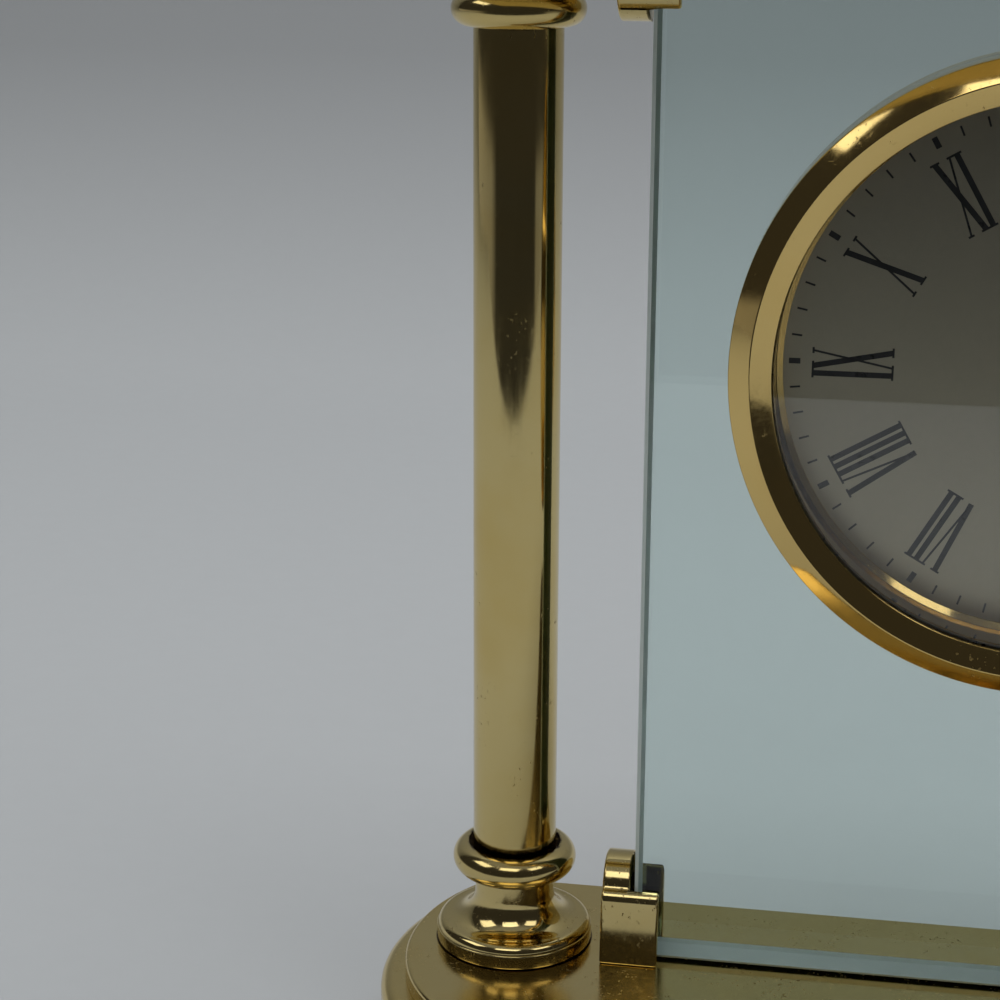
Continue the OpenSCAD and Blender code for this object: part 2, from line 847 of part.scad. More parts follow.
module dial_hold_ring() {
    color(brass)
        at_dial()
            rotate_extrude($fn = 128)
                polygon([
                    [hold_out_r - hold_ring_w, dial_f], [hold_out_r, dial_f],
                    [hold_out_r, dial_f + hold_ring_h],
                    [hold_out_r - hold_ring_w, dial_f + hold_ring_h - hold_ring_w + 0.15]
                ]);
}

module dial() {
    color("#c9c6bb")
        at_dial()
            translate([0, 0, dial_back_f])
                ring(boss_d / 2 + snug, case_bore_r - snug, dial_t);
}

module front_gasket() {
    color("#222222") at_dial() ring(pane_hole_r, bezel_r - gasket_in, pane_gasket_t);
}

module rear_gasket() {
    color("#222222")
        at_dial() translate([0, 0, rear_gasket_f]) ring(pane_hole_r, ring_nut_r - gasket_in, pane_gasket_t);
}

module ring_nut() {
    color(brass)
        at_dial()
            translate([0, 0, rear_gasket_f - ring_nut_h])
                difference() {
                    rotate_extrude($fn = 128)
                        polygon([
                            [bezel_bore_r, 0], [ring_nut_r - 1, 0], [ring_nut_r, 1],
                            [ring_nut_r, ring_nut_h], [bezel_bore_r, ring_nut_h]
                        ]);
                    for (a = [0:90:270])
                        rotate([0, 0, a])
                            translate([ring_nut_r - notch_depth, -notch_w / 2, -over])
                                cube([2 * notch_depth, notch_w, ring_nut_h / 2 + over]);
                }
}

module back_cover() {
    color(brass)
        at_dial()
            difference() {
                union() {
                    translate([0, 0, cover_f - cover_t]) cylinder(h = cover_t, r = case_r, $fn = 128);
                    translate([0, 0, cover_f - cover_t / 2])
                        ring(case_bore_r - snug - skirt_t, case_bore_r - snug, skirt_h + cover_t / 2);
                }
                translate([setting_at.x, setting_at.y, cover_f - cover_t - over])
                    cylinder(h = cover_t + 2 * over, r = knob_d / 2 + knob_hole_gap, $fn = 64);
                translate([0, -case_r - cover_notch_r / 2, cover_f - cover_t - over])
                    cylinder(h = cover_t + over, r = cover_notch_r, $fn = 64);
            }
}

// Movement case

module box_outline(h, r) {
    polygon(round_rect(-h, h, -h, h, r));
}

module box_layer(f0, f1, h, r) {
    translate([0, 0, f0]) linear_extrude(f1 - f0) box_outline(h, r);
}

module at_posts() {
    for (x = [-post_x, post_x], y = [post_low_y, post_top_y])
        translate([x, y, 0]) children();
}

module movement_front() {
    color(dark_plastic)
        at_dial()
            difference() {
                union() {
                    difference() {
                        box_layer(split_f, box_front_f, box_w / 2, box_r);
                        box_layer(split_f - over, inner_front_f, inner_half, inner_corner_r);
                    }
                    at_posts() cylinder_between(bridge_f, inner_front_f + merge, post_r);
                    bay_wall(split_f, inner_front_f + merge);
                    cylinder_between(box_front_f - merge, boss_top_f, boss_d / 2);
                }
                cylinder_between(box_front_f - box_wall - over, boss_top_f + over, boss_bore_r);
                at_posts()
                    cylinder_between(
                        bridge_f - over, bridge_f + box_screw_bite + merge, box_screw_r + screw_gap);
                for (p = [minute_at, setting_at])
                    at_point(p)
                        cylinder_between(inner_front_f - over, inner_front_f + pit, pivot_r + run_gap);
            }
}

module bay_wall(f0, f1) {
    translate([-inner_half - merge, bay_wall_y, f0]) cube([2 * (inner_half + merge), bay_wall_t, f1 - f0]);
}

module at_point(p) {
    translate([p.x, p.y, 0]) children();
}

module cylinder_between(f0, f1, r) {
    translate([0, 0, f0]) cylinder(h = f1 - f0, r = r, $fn = 48);
}

module movement_bridge() {
    color(white_plastic)
        at_dial()
            difference() {
                translate([0, 0, bridge_f - bridge_t])
                    linear_extrude(bridge_t)
                        polygon(round_rect(
                            -inner_half + bridge_gap, inner_half - bridge_gap,
                            bay_wall_y + bay_wall_t + bridge_gap, inner_half - bridge_gap,
                            box_r - box_wall));
                through_bridge(centre_arbor_r + run_gap);
                at_posts() through_bridge(box_screw_r + screw_gap);
                at_point(setting_at) through_bridge(setting_r + run_gap);
                at_point(minute_at) cylinder_between(bridge_f - pit, bridge_f + over, pivot_r + run_gap);
                for (p = [reduction_at, rotor_at])
                    at_point(p)
                        cylinder_between(
                            bridge_f - bridge_t - over, bridge_f - bridge_t + pit, pivot_r + run_gap);
            }
}

module through_bridge(r) {
    cylinder_between(bridge_f - bridge_t - over, bridge_f + over, r);
}

module movement_back() {
    color(dark_plastic)
        at_dial()
            difference() {
                union() {
                    difference() {
                        box_layer(box_back_f, split_f, box_w / 2, box_r);
                        box_layer(inner_back_f, split_f + over, inner_half, inner_corner_r);
                    }
                    bay_wall(inner_back_f - merge, split_f);
                    at_posts() cylinder_between(inner_back_f - merge, bridge_f - bridge_t, post_r);
                    at_rear_pivots()
                        cylinder_between(inner_back_f - merge, inner_back_f + rear_boss_h, rear_boss_r);
                    at_board_posts() cylinder_between(inner_back_f - merge, board_f - board_t, small_post_r);
                    for (x = [core_x0 + small_post_r + 0.6, core_x1 - small_post_r - 0.6])
                        translate([x, coil_y, 0])
                            cylinder_between(inner_back_f - merge, core_f - core_t - stator_t, small_post_r);
                }
                at_posts() cylinder_between(box_back_f - over, bridge_f + over, box_screw_r + screw_gap);
                at_rear_pivots()
                    cylinder_between(
                        inner_back_f - pit_end, inner_back_f + rear_boss_h + over, pivot_r + run_gap);
                at_point(setting_at)
                    cylinder_between(box_back_f - over, inner_back_f + over, setting_r + run_gap);
                translate([0, 0, box_back_f - over])
                    linear_extrude(box_wall + 2 * over)
                        intersection() {
                            box_outline(inner_half, inner_corner_r);
                            translate([-inner_half, -inner_half])
                                square([2 * inner_half, bay_wall_y + inner_half]);
                        }
            }
}

// The three arbors that turn in bosses on the rear wall
module at_rear_pivots() {
    for (p = [reduction_at, rotor_at, [0, 0]])
        at_point(p) children();
}

module movement_screws() {
    color(steel)
        at_dial()
            at_posts() {
                cylinder_between(box_back_f - box_head_h, box_back_f, box_head_r);
                cylinder_between(box_back_f - box_head_h / 2, bridge_f + box_screw_bite, box_screw_r);
            }
}

module dial_nut() {
    color(brass)
        at_dial()
            translate([0, 0, dial_f])
                difference() {
                    cylinder(h = dial_nut_h, r = dial_nut_r, $fn = 6);
                    translate([0, 0, -over])
                        cylinder(h = dial_nut_h + 2 * over, r = boss_d / 2 + snug, $fn = 64);
                }
}

// Battery and electrical parts

module along_x(x0, x1, r) {
    translate([x0, 0, 0]) rotate([0, 90, 0]) cylinder(h = x1 - x0, r = r, $fn = 48);
}

module battery() {
    color("#3c4a56")
        at_dial()
            translate([0, cell_y, cell_f]) {
                along_x(-cell_l / 2, cell_l / 2 - button_l, cell_r);
                along_x(cell_l / 2 - 2 * button_l, cell_l / 2, button_r);
            }
}

// A leaf of spring metal, bowed towards the battery
module contact_minus() {
    color(steel)
        at_dial()
            translate([0, cell_y - contact_w / 2, cell_f])
                rotate([-90, 0, 0])
                    linear_extrude(contact_w)
                        polygon([
                            [-inner_half, -leaf_reach], [-inner_half + leaf_t, -leaf_reach],
                            [-inner_half + leaf_t, -leaf_reach + leaf_foot], [-cell_l / 2, 0],
                            [-inner_half + leaf_t, leaf_reach - leaf_foot],
                            [-inner_half + leaf_t, leaf_reach], [-inner_half, leaf_reach],
                            [-inner_half, leaf_reach - 2 * leaf_foot], [-cell_l / 2 - 1.5 * leaf_t, 0],
                            [-inner_half, -leaf_reach + 2 * leaf_foot]
                        ]);
}

module contact_plus() {
    color(steel)
        at_dial()
            translate([0, cell_y, cell_f]) {
                translate([inner_half - plus_t, -contact_w / 2, -contact_w / 2])
                    cube([plus_t, contact_w, contact_w]);
                along_x(cell_l / 2, inner_half - plus_t / 2, plus_r);
            }
}

module at_board_posts() {
    for (corner = [0.24, 0.76])
        at_point(board_at + corner * [board_w, board_d]) children();
}

module circuit_board() {
    color("#2f5a3c")
        at_dial() {
            at_point(board_at) translate([0, 0, board_f - board_t]) cube([board_w, board_d, board_t]);
            at_point(chip_at) cylinder_between(board_f - merge, board_f + chip_h, chip_r);
            at_point(crystal_at)
                translate([0, 0, board_f + crystal_r - merge]) along_x(0, crystal_l, crystal_r);
        }
}

module coil_winding() {
    color("#8a4b2a")
        at_dial()
            translate([0, coil_y, core_f - core_t / 2])
                difference() {
                    union() {
                        along_x(coil_x0 + 1, coil_x1 - 1, coil_r);
                        for (x = [coil_x0, coil_x1 - 1])
                            along_x(x, x + 1, coil_r + coil_flange_w);
                    }
                    translate([coil_x0 - over, -core_w / 2 - snug, -core_t / 2 - snug])
                        cube([coil_x1 - coil_x0 + 2 * over, core_w + 2 * snug, core_t + 2 * snug]);
                }
}

module coil_core() {
    color(steel)
        at_dial()
            translate([core_x0, coil_y - core_w / 2, core_f - core_t])
                cube([core_x1 - core_x0, core_w, core_t]);
}

// One flat plate that leads the coil's field round the rotor
module stator() {
    arm_y = min(rotor_at.y + 1, coil_y - coil_r - coil_flange_w - stator_coil_gap - stator_arm_w);
    core_top_y = coil_y + core_w / 2;
    color(steel)
        at_dial()
            translate([0, 0, core_f - core_t - stator_t])
                difference() {
                    union() {
                        translate([core_x0, rotor_at.y - 2, 0])
                            cube([stator_leg_w, core_top_y - rotor_at.y + 2, stator_t]);
                        translate([core_x1 - stator_leg_w, arm_y, 0])
                            cube([stator_leg_w, core_top_y - arm_y, stator_t]);
                        translate([core_x0, arm_y, 0]) cube([core_x1 - core_x0, stator_arm_w, stator_t]);
                        at_point(rotor_at) cylinder(h = stator_t, r = stator_bore_r + stator_rim_w, $fn = 64);
                    }
                    at_point(rotor_at)
                        translate([0, 0, -over])
                            cylinder(h = stator_t + 2 * over, r = stator_bore_r, $fn = 64);
                }
}

// Wheels

// The thin arbor of a wheel that turns between the bridge and the rear wall
module pivots_between_walls() {
    cylinder_between(inner_back_f + end_play, bridge_f - bridge_t + pit - end_play, pivot_r);
}

module rotor() {
    color("#55585c")
        at_dial()
            at_point(rotor_at) {
                cylinder_between(magnet_f - magnet_h, magnet_f, magnet_r);
                pivots_between_walls();
                translate([0, 0, reduction_f - reduction_t - pinion_lap])
                    gear(
                        rotor_n, rotor_m, mesh_phase(reduction_n, rotor_n, rotor_dir, 0),
                        reduction_t + 2 * pinion_lap);
                cylinder_between(magnet_f - merge, reduction_f - reduction_t - pinion_lap + merge, arbor_r);
            }
}

module reduction_wheel() {
    color(white_plastic)
        at_dial()
            at_point(reduction_at) {
                translate([0, 0, reduction_f - reduction_t]) gear(reduction_n, rotor_m, 0, reduction_t);
                translate([0, 0, centre_wheel_f - centre_wheel_t - pinion_lap])
                    gear(
                        reduction_pinion_n, centre_m,
                        mesh_phase(centre_n, reduction_pinion_n, reduction_dir, 0),
                        centre_wheel_t + 2 * pinion_lap);
                cylinder_between(
                    reduction_f - merge, centre_wheel_f - centre_wheel_t - pinion_lap + merge, 1);
                cylinder_between(
                    inner_back_f + rear_boss_h + shoulder_gap, bridge_f - bridge_t - merge, arbor_r);
                pivots_between_walls();
            }
}

module centre_wheel() {
    color("#c8a24a")
        at_dial()
            difference() {
                union() {
                    translate([0, 0, centre_wheel_f - centre_wheel_t])
                        gear(centre_n, centre_m, 0, centre_wheel_t);
                    cylinder_between(centre_wheel_f - centre_wheel_t - 0.6, centre_wheel_f + 0.4, 2.2);
                }
                cylinder_between(
                    centre_wheel_f - centre_wheel_t - over, centre_wheel_f + over, centre_arbor_r);
            }
}

module minute_arbor() {
    color(steel)
        at_dial() {
            cylinder_between(inner_back_f + end_play, bridge_f, pivot_r);
            cylinder_between(inner_back_f + rear_boss_h + shoulder_gap, motion_f, centre_arbor_r);
            translate([0, 0, motion_f - motion_t - pinion_lap])
                gear(cannon_n, motion_m, 0, motion_t + 2 * pinion_lap);
            cylinder_between(motion_f, arbor_top_f, minute_d / 2);
        }
}

module minute_wheel() {
    color("#d9d2b4")
        at_dial()
            at_point(minute_at) {
                translate([0, 0, motion_f - motion_t]) gear(minute_n, motion_m, minute_phase, motion_t);
                translate([0, 0, motion_f - merge])
                    gear(minute_pinion_n, hour_m, 0, hour_wheel_f - motion_f + merge + end_play);
                cylinder_between(bridge_f - pit + end_play, inner_front_f + pit - end_play, pivot_r);
            }
}

module hour_wheel() {
    color("#d9d2b4")
        at_dial()
            difference() {
                union() {
                    translate([0, 0, hour_wheel_f - hour_wheel_t])
                        gear(
                            hour_n, hour_m, mesh_phase(minute_pinion_n, hour_n, minute_dir + 180, 0),
                            hour_wheel_t);
                    cylinder_between(hour_wheel_f - hour_wheel_t, pipe_top_f, pipe_r);
                }
                cylinder_between(hour_wheel_f - hour_wheel_t - over, pipe_top_f + over, pipe_bore_r);
            }
}

module setting_arbor() {
    color(steel)
        at_dial()
            at_point(setting_at) {
                cylinder_between(knob_f, motion_f, setting_r);
                translate([0, 0, motion_f - motion_t - pinion_lap])
                    gear(
                        setting_n, motion_m, mesh_phase(minute_n, setting_n, setting_dir, minute_phase),
                        motion_t + 2 * pinion_lap);
                cylinder_between(motion_f, inner_front_f + pit - end_play, pivot_r);
            }
}

module set_knob() {
    color(dark_plastic)
        at_dial()
            at_point(setting_at)
                difference() {
                    union() {
                        cylinder_between(knob_end_f, knob_top_f, knob_d / 2 - knob_rib_h);
                        for (i = [0:knob_ribs - 1])
                            rotate([0, 0, i * 360 / knob_ribs])
                                translate([knob_d / 2 - knob_rib_h - merge, -knob_rib_w / 2, knob_end_f])
                                    cube([knob_rib_h + merge, knob_rib_w, knob_top_f - knob_end_f]);
                    }
                    cylinder_between(knob_f, knob_f + 2, setting_r);
                }
}

// Hands

// A spade hand along +Y, with its hub round the axis
module spade_hand(l, stem_w, lobe_r, hub_r, bore_r, t) {
    lobe_y = l - 4.2 * lobe_r;
    difference() {
        linear_extrude(t) {
            polygon([
                [-stem_w / 2, 0], [stem_w / 2, 0], [stem_w / 3, lobe_y], [-stem_w / 3, lobe_y]
            ]);
            polygon([
                [-1.62 * lobe_r, lobe_y + 0.4 * lobe_r], [1.62 * lobe_r, lobe_y + 0.4 * lobe_r], [0, l]
            ]);
            for (side = [-1, 1])
                translate([side * 0.72 * lobe_r, lobe_y]) circle(lobe_r, $fn = 48);
            circle(hub_r, $fn = 64);
        }
        translate([0, 0, -over]) cylinder(h = t + 2 * over, r = bore_r, $fn = 48);
    }
}

module hour_hand() {
    color("#16161a")
        at_dial()
            rotate([0, 0, -hour_angle])
                translate([0, 0, hour_hand_f]) spade_hand(hour_l, 1.7, 1.7, 4, pipe_r, hand_t);
}

module minute_hand() {
    color("#16161a")
        at_dial()
            rotate([0, 0, -minute_angle])
                translate([0, 0, minute_hand_f])
                    spade_hand(minute_l, 1.5, 1.25, 3.2, minute_d / 2, hand_t);
}

module hand_cap() {
    color(brass)
        at_dial()
            cylinder_between(arbor_top_f, arbor_top_f + hand_cap_h, 2.3);
}

base_felt();
base_closing_plate();
base_weight();
base_screws();
base_plinth();
base_plate();
column_foot(-1);  // column_foot_left
column_foot(1);  // column_foot_right
column_tube(-1);  // column_tube_left
column_tube(1);  // column_tube_right
column_capital(-1);  // column_capital_left
column_capital(1);  // column_capital_right
tie_rods();
rod_nuts();
rod_washers();
cap_nuts();
top_plate();
top_cap();
glass_pane();
clip(-1, false);  // clip_lower_left
clip(1, false);  // clip_lower_right
clip(-1, true);  // clip_upper_left
clip(1, true);  // clip_upper_right
clip_liners();
clip_screws();
bezel();
lens();
lens_gasket();
case_cup();
dial_hold_ring();
dial();
front_gasket();
rear_gasket();
ring_nut();
back_cover();
movement_front();
movement_bridge();
movement_back();
movement_screws();
dial_nut();
battery();
contact_minus();
contact_plus();
circuit_board();
coil_winding();
coil_core();
stator();
rotor();
reduction_wheel();
centre_wheel();
minute_arbor();
minute_wheel();
hour_wheel();
setting_arbor();
set_knob();
hour_hand();
minute_hand();
hand_cap();
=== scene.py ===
"""Looks of the brass column desk clock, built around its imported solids.

Metres, +Z up, the dial faces -Y. Lengths of the clock itself are in millimetres, times MM.
"""

import json
import math

import bmesh
import bpy
from mathutils import Matrix, Vector


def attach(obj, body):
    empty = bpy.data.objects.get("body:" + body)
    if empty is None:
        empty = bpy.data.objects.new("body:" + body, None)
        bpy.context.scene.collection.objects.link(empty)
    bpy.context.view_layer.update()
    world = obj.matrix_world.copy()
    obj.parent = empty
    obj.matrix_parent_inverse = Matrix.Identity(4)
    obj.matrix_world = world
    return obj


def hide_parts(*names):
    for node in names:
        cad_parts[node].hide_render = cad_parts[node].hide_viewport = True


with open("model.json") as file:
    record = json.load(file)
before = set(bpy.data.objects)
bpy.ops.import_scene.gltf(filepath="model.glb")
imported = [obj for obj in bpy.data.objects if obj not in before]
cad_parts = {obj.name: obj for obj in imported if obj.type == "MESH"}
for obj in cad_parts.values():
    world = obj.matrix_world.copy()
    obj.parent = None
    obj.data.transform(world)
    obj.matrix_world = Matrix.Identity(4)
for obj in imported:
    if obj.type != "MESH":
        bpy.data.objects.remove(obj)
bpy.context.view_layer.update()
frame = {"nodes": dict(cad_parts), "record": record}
nodes = frame["nodes"]

MM = 0.001
SIDES = ((-1, "left"), (1, "right"))

# Camera, from the photograph's perspective; angles in degrees, lens and sensor in millimetres
CAMERA_AT = (-22.438 * MM, -307.653 * MM, 182.686 * MM)
CAMERA_YAW = 10.133
CAMERA_PITCH = 16.596
CAMERA_ROLL = 0.164
CAMERA_LENS = 80.376
SENSOR = 36.0
CLIP_START = 0.01

# Table and wall of one sheet of paper, in metres
PAPER = (0.37, 0.385, 0.395)
PAPER_LOW_TONE = 0.985
PAPER_ROUGHNESS = 0.9
PAPER_FRONT = -0.45
PAPER_FRONT_DROP = 0.02
PAPER_HALF = 1.6
BACKDROP_Y = 0.62
BACKDROP_RADIUS = 0.25
BACKDROP_TOP = 1.6
SWEEP_STEPS = 24
# Painted shade on the wall: its share of the paper's tone, the heights where it sets in, and where
# it fades again
WALL_SHADE_TONE = 0.70
WALL_SHADE_FROM = (0.005, 0.10)
WALL_SHADE_FADES = (0.14, 0.26)

# Lamps: place and size in metres, power in watts, and whether polished metal shows them
LAMP_AIM = (0.0, 0.0, 0.1)
LAMPS = (
    ("ceiling", (0.0, 0.1, 1.5), (1.8, 1.4), 28.0, False),
    ("window_front", (-0.12, -0.95, 1.32), (0.80, 0.50), 2.1, True),
    ("window_left", (-1.05, -0.30, 1.20), (0.75, 0.50), 1.8, True),
    ("window_right", (0.85, -0.55, 1.22), (0.60, 0.45), 1.2, True),
)

# Room: brightness at shares of a turn from behind, by the left, the front and the right; then its
# high part, its top and what the camera sees, and the steepness at which the first two begin
ROOM = (
    (0.0, 0.35), (0.10, 0.35), (0.16, 0.30), (0.33, 0.20), (0.37, 0.03), (0.645, 0.028),
    (0.66, 0.17), (0.70, 0.20), (0.73, 0.05), (0.77, 0.05), (0.80, 0.35), (1.0, 0.35),
)
ROOM_HIGH = (0.032, 0.031, 0.030)
ROOM_ABOVE = (0.24, 0.25, 0.26)
ROOM_SEEN = (0.34, 0.355, 0.365)
HIGH_FROM = (0.0, 0.04)
ABOVE_FROM = (0.78, 0.92)

# Frame, in millimetres as in the part; the dial's face lies forward of the pane's front by DIAL_F
COLUMN_X = 75.5
COLUMN_Y = 3.0
FELT_TOP = 1.0
PLINTH_TOP = 15.0
BASE_TOP = 18.0
CEILING = 173.5
CAP_Z = 176.5
CAP_TOP = 188.5
PANE_FRONT = -1.75
DIAL_Z = 112.3
DIAL_F = -1.95

# Plates: half length, half depth, end radius, corner radius; then steps, walls, edges and holes
PLATE = (91.5, 22.4, 31.0, 5.0)
STEP_OUT = 3.8
PLINTH_WALL = 2.0
PLINTH_HOLLOW_TOP = 13.0
PLINTH_BREAK = 0.15
CAP_WALL = STEP_OUT + 4.0
CAP_HOLLOW = 10
SOFT_EDGE = 2.2
PLATE_EDGE = 0.7
JOINT_EDGE = 0.25
ROD_HOLE_R = 2.15
CLIP_SCREW_X = 59.05
CLIP_HOLE_R = 1.55
HOLE_STEPS = 40

# Columns: the foot's bead, cove and ring are arcs given by centre radius, centre height and radius
FOOT_R = 12.0
FOOT_RIM = 2.4
BEAD = (10.5, 2.4, 1.3)
COVE = (10.5, 8.15, 4.45)
RING = (7.06, 13.75, 2.4)
RECESS_R = 7.1
RECESS_FLOOR = 14.95
SOCKET_R = 6.4
SOCKET_FLOOR = 12.05
TUBE_R = 6.35
TUBE_BORE_R = 5.35
TUBE_EDGE = 0.2
NUT_FLANGE_R = 5.4
NUT_FLANGE = 0.9
NUT_R = 4.4
NUT_DOME_Z = 2.3

# Clips, about the pane's centre plane
CLIP_OUTER_X = -61.2
CLIP_INNER_X = -52.45
CLIP_HALF = 7.25
CLIP_ARCH_Z = 8.05
JAW_Z = 9.5
JAW_HALF = 5.8
JAW_FRONT_HALF = 5.2
LIP = (-4.34, 9.72, 2.0)
SLOT_X = -56.9
SLOT_HALF = 5.1
SHORT_JAW_TOP = 11.7
PAST_CLIP = -50.0
BEFORE_CLIP = -9.0
BELOW_CLIP = -1.0
ABOVE_CLIP = 17.0
CLIP_EDGE = 0.45

# Bezel: radius, height in front of the pane, rounding
BEZEL = (
    (39.06, 0.3), (44.21, 0.3, 0.2), (44.21, 7.2, 0.35), (41.21, 9.25, 0.3), (38.21, 7.8, 0.2),
    (38.21, 7.1, 0.1), (39.06, 7.1),
)

# Steps of a full turn, and the angles in degrees above which an edge stays sharp
COLUMN_STEPS = 160
NUT_STEPS = 96
BEZEL_STEPS = 256
TURNED_CREASE = 34
SLAB_CREASE = 32
CLIP_CREASE = 35
PAPER_CREASE = 50

# Print on the dial: half length and width of its marks, and the letters' strokes about their middle
PRINT_LOW = 0.005
PRINT_HIGH = 0.03
MARK_R = 35.56
HOUR_MARK = (0.8, 0.8)
MINUTE_MARK = (0.72, 0.28)
NUMERALS = ("XII", "I", "II", "III", "IIII", "V", "VI", "VII", "VIII", "IX", "X", "XI")
FOOT_LINE = 22.0
HEAD_LINE = 33.0
THICK = 0.8
THIN = 0.3
LETTERS = {
    "I": (((0.0, FOOT_LINE), (0.0, HEAD_LINE), THICK),),
    "V": (
        ((-1.0, HEAD_LINE), (0.1, FOOT_LINE), THICK),
        ((1.0, HEAD_LINE), (0.1, FOOT_LINE), THIN),
    ),
    "X": (
        ((-1.1, HEAD_LINE), (1.1, FOOT_LINE), THICK),
        ((1.1, HEAD_LINE), (-1.1, FOOT_LINE), THIN),
    ),
}
HALF_WIDTH = {"I": 0.4, "V": 1.45, "X": 1.5}
LETTER_GAP = 0.25
STEM_GAP = 0.42
SERIF_REACH = 0.28
SERIF_JOIN = 0.12


# Meshes


def new_object(name, bm, smooth=True, crease=None, weighted=False):
    """Turns a bmesh into a linked object with its faces turned outward."""
    bmesh.ops.recalc_face_normals(bm, faces=bm.faces[:])
    mesh = bpy.data.meshes.new(name)
    bm.to_mesh(mesh)
    bm.free()
    return link_mesh(name, mesh, smooth, crease, weighted)


def link_mesh(name, mesh, smooth=True, crease=None, weighted=False):
    """Makes a linked object of a mesh; edges sharper than crease degrees stay sharp."""
    for polygon in mesh.polygons:
        polygon.use_smooth = smooth
    if crease:
        mesh.set_sharp_from_angle(angle=math.radians(crease))
    obj = bpy.data.objects.new(name, mesh)
    bpy.context.scene.collection.objects.link(obj)
    if weighted:
        modifier = obj.modifiers.new("weighted", "WEIGHTED_NORMAL")
        modifier.keep_sharp = True
    return obj


def piece(obj, slot, body, *replaced, finish=None):
    """Gives a new piece its finish, its body and the nodes that it stands for."""
    obj.data.materials.clear()
    obj.data.materials.append(MATERIALS[finish or slot])
    if replaced:
        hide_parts(*replaced)
    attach(obj, body)


def arc(cx, cy, r, start, end, steps):
    """Points of an arc, angles in degrees."""
    angles = [math.radians(start + (end - start) * i / steps) for i in range(steps + 1)]
    return [(cx + r * math.cos(a), cy + r * math.sin(a)) for a in angles]


def rounded(corners, steps=4):
    """Fillets a closed outline's corners, each (x, y) or (x, y, radius)."""
    out = []
    for i, corner in enumerate(corners):
        at = Vector(corner[:2])
        if len(corner) == 2:
            out.append(corner)
            continue
        back = (Vector(corners[i - 1][:2]) - at).normalized()
        ahead = (Vector(corners[(i + 1) % len(corners)][:2]) - at).normalized()
        half = back.angle(ahead) / 2
        reach = corner[2] / math.tan(half)
        centre = at + (back + ahead).normalized() * (corner[2] / math.sin(half))
        first = at + back * reach - centre
        last = at + ahead * reach - centre
        sweep = first.angle_signed(last)
        for k in range(steps + 1):
            turned = first.copy()
            turned.rotate(Matrix.Rotation(-sweep * k / steps, 2))
            out.append(tuple(centre + turned))
    return out


def wall(bm, one, two):
    """Faces between two closed loops of as many points."""
    for i in range(len(one)):
        j = (i + 1) % len(one)
        bm.faces.new((one[i], one[j], two[j], two[i]))


def lathe(bm, outline, place, steps=COLUMN_STEPS):
    """Turns a closed (r, h) outline into a solid; place maps (r, angle, h) to a point."""
    on_axis = 1e-6
    rings = []
    for i in range(steps):
        a = 2 * math.pi * i / steps
        rings.append([bm.verts.new(Vector(place(r, a, h)) * MM) for r, h in outline])
    for i in range(steps):
        one, two = rings[i], rings[(i + 1) % steps]
        for j in range(len(outline)):
            k = (j + 1) % len(outline)
            if outline[j][0] > on_axis or outline[k][0] > on_axis:
                bm.faces.new((one[j], one[k], two[k], two[j]))
    axis = [v for ring in rings for v, (r, h) in zip(ring, outline) if r < on_axis]
    if axis:
        bmesh.ops.remove_doubles(bm, verts=axis, dist=1e-7)


def at_column(side, z, down=False):
    """Place for lathe about a column's axis, upward from z or down from it."""
    sign = -1 if down else 1
    x = side * COLUMN_X
    return lambda r, a, h: (x + r * math.cos(a), COLUMN_Y + r * math.sin(a), z + sign * h)


def at_dial(r, a, f):
    """Place for lathe about the dial's axis, forward from the pane's front."""
    return (r * math.cos(a), PANE_FRONT - f, DIAL_Z + r * math.sin(a))


# Plates


def bow(grow):
    """Points of the plates' outline, grown by a margin: bowed ends, straight sides, corners."""
    half_l, half_d, end_r, turn_r = (v + grow for v in PLATE)
    arc_x = half_l - end_r
    corner_y = half_d - turn_r
    corner_x = arc_x + math.sqrt((end_r - turn_r) ** 2 - corner_y**2)
    turn = math.degrees(math.asin(corner_y / (end_r - turn_r)))
    quarter = arc(corner_x, corner_y, turn_r, turn, 90, 14)
    right = arc(arc_x, 0, end_r, 0, turn, 28)[:-1] + quarter
    upper = right + [(-x, y) for x, y in reversed(right)]
    return upper + [(x, -y) for x, y in reversed(upper[1:-1])]


def slab(name, grow, path, holes):
    """A solid from a bottom to a top face, joined by (inset, z) levels, with (x, y, r) holes."""
    bm = bmesh.new()
    loops = []
    for inset, z in path:
        loops.append([bm.verts.new((x * MM, y * MM, z * MM)) for x, y in bow(grow - inset)])
    for low, high in zip(loops, loops[1:]):
        wall(bm, low, high)
    faces = (loops[0], loops[-1])
    ends = [[bm.edges.get(pair) for pair in zip(loop, loop[1:] + loop[:1])] for loop in faces]
    for x, y, r in holes:
        rings = []
        for loop, edges in zip(faces, ends):
            z = loop[0].co.z
            circle = arc(x, y, r, 0, 360, HOLE_STEPS)[:-1]
            ring = [bm.verts.new((px * MM, py * MM, z)) for px, py in circle]
            edges += [bm.edges.new(pair) for pair in zip(ring, ring[1:] + ring[:1])]
            rings.append(ring)
        wall(bm, *rings)
    for edges in ends:
        bmesh.ops.triangle_fill(bm, use_beauty=True, use_dissolve=False, edges=edges)
    return new_object(name, bm, crease=SLAB_CREASE, weighted=True)


def edge_round(z, radius, top, steps=6):
    """Levels of a rounded edge, upward; top is True at an upper edge."""
    if top:
        return arc(radius, z - radius, radius, 180, 90, steps)
    return arc(radius, z + radius, radius, 270, 180, steps)


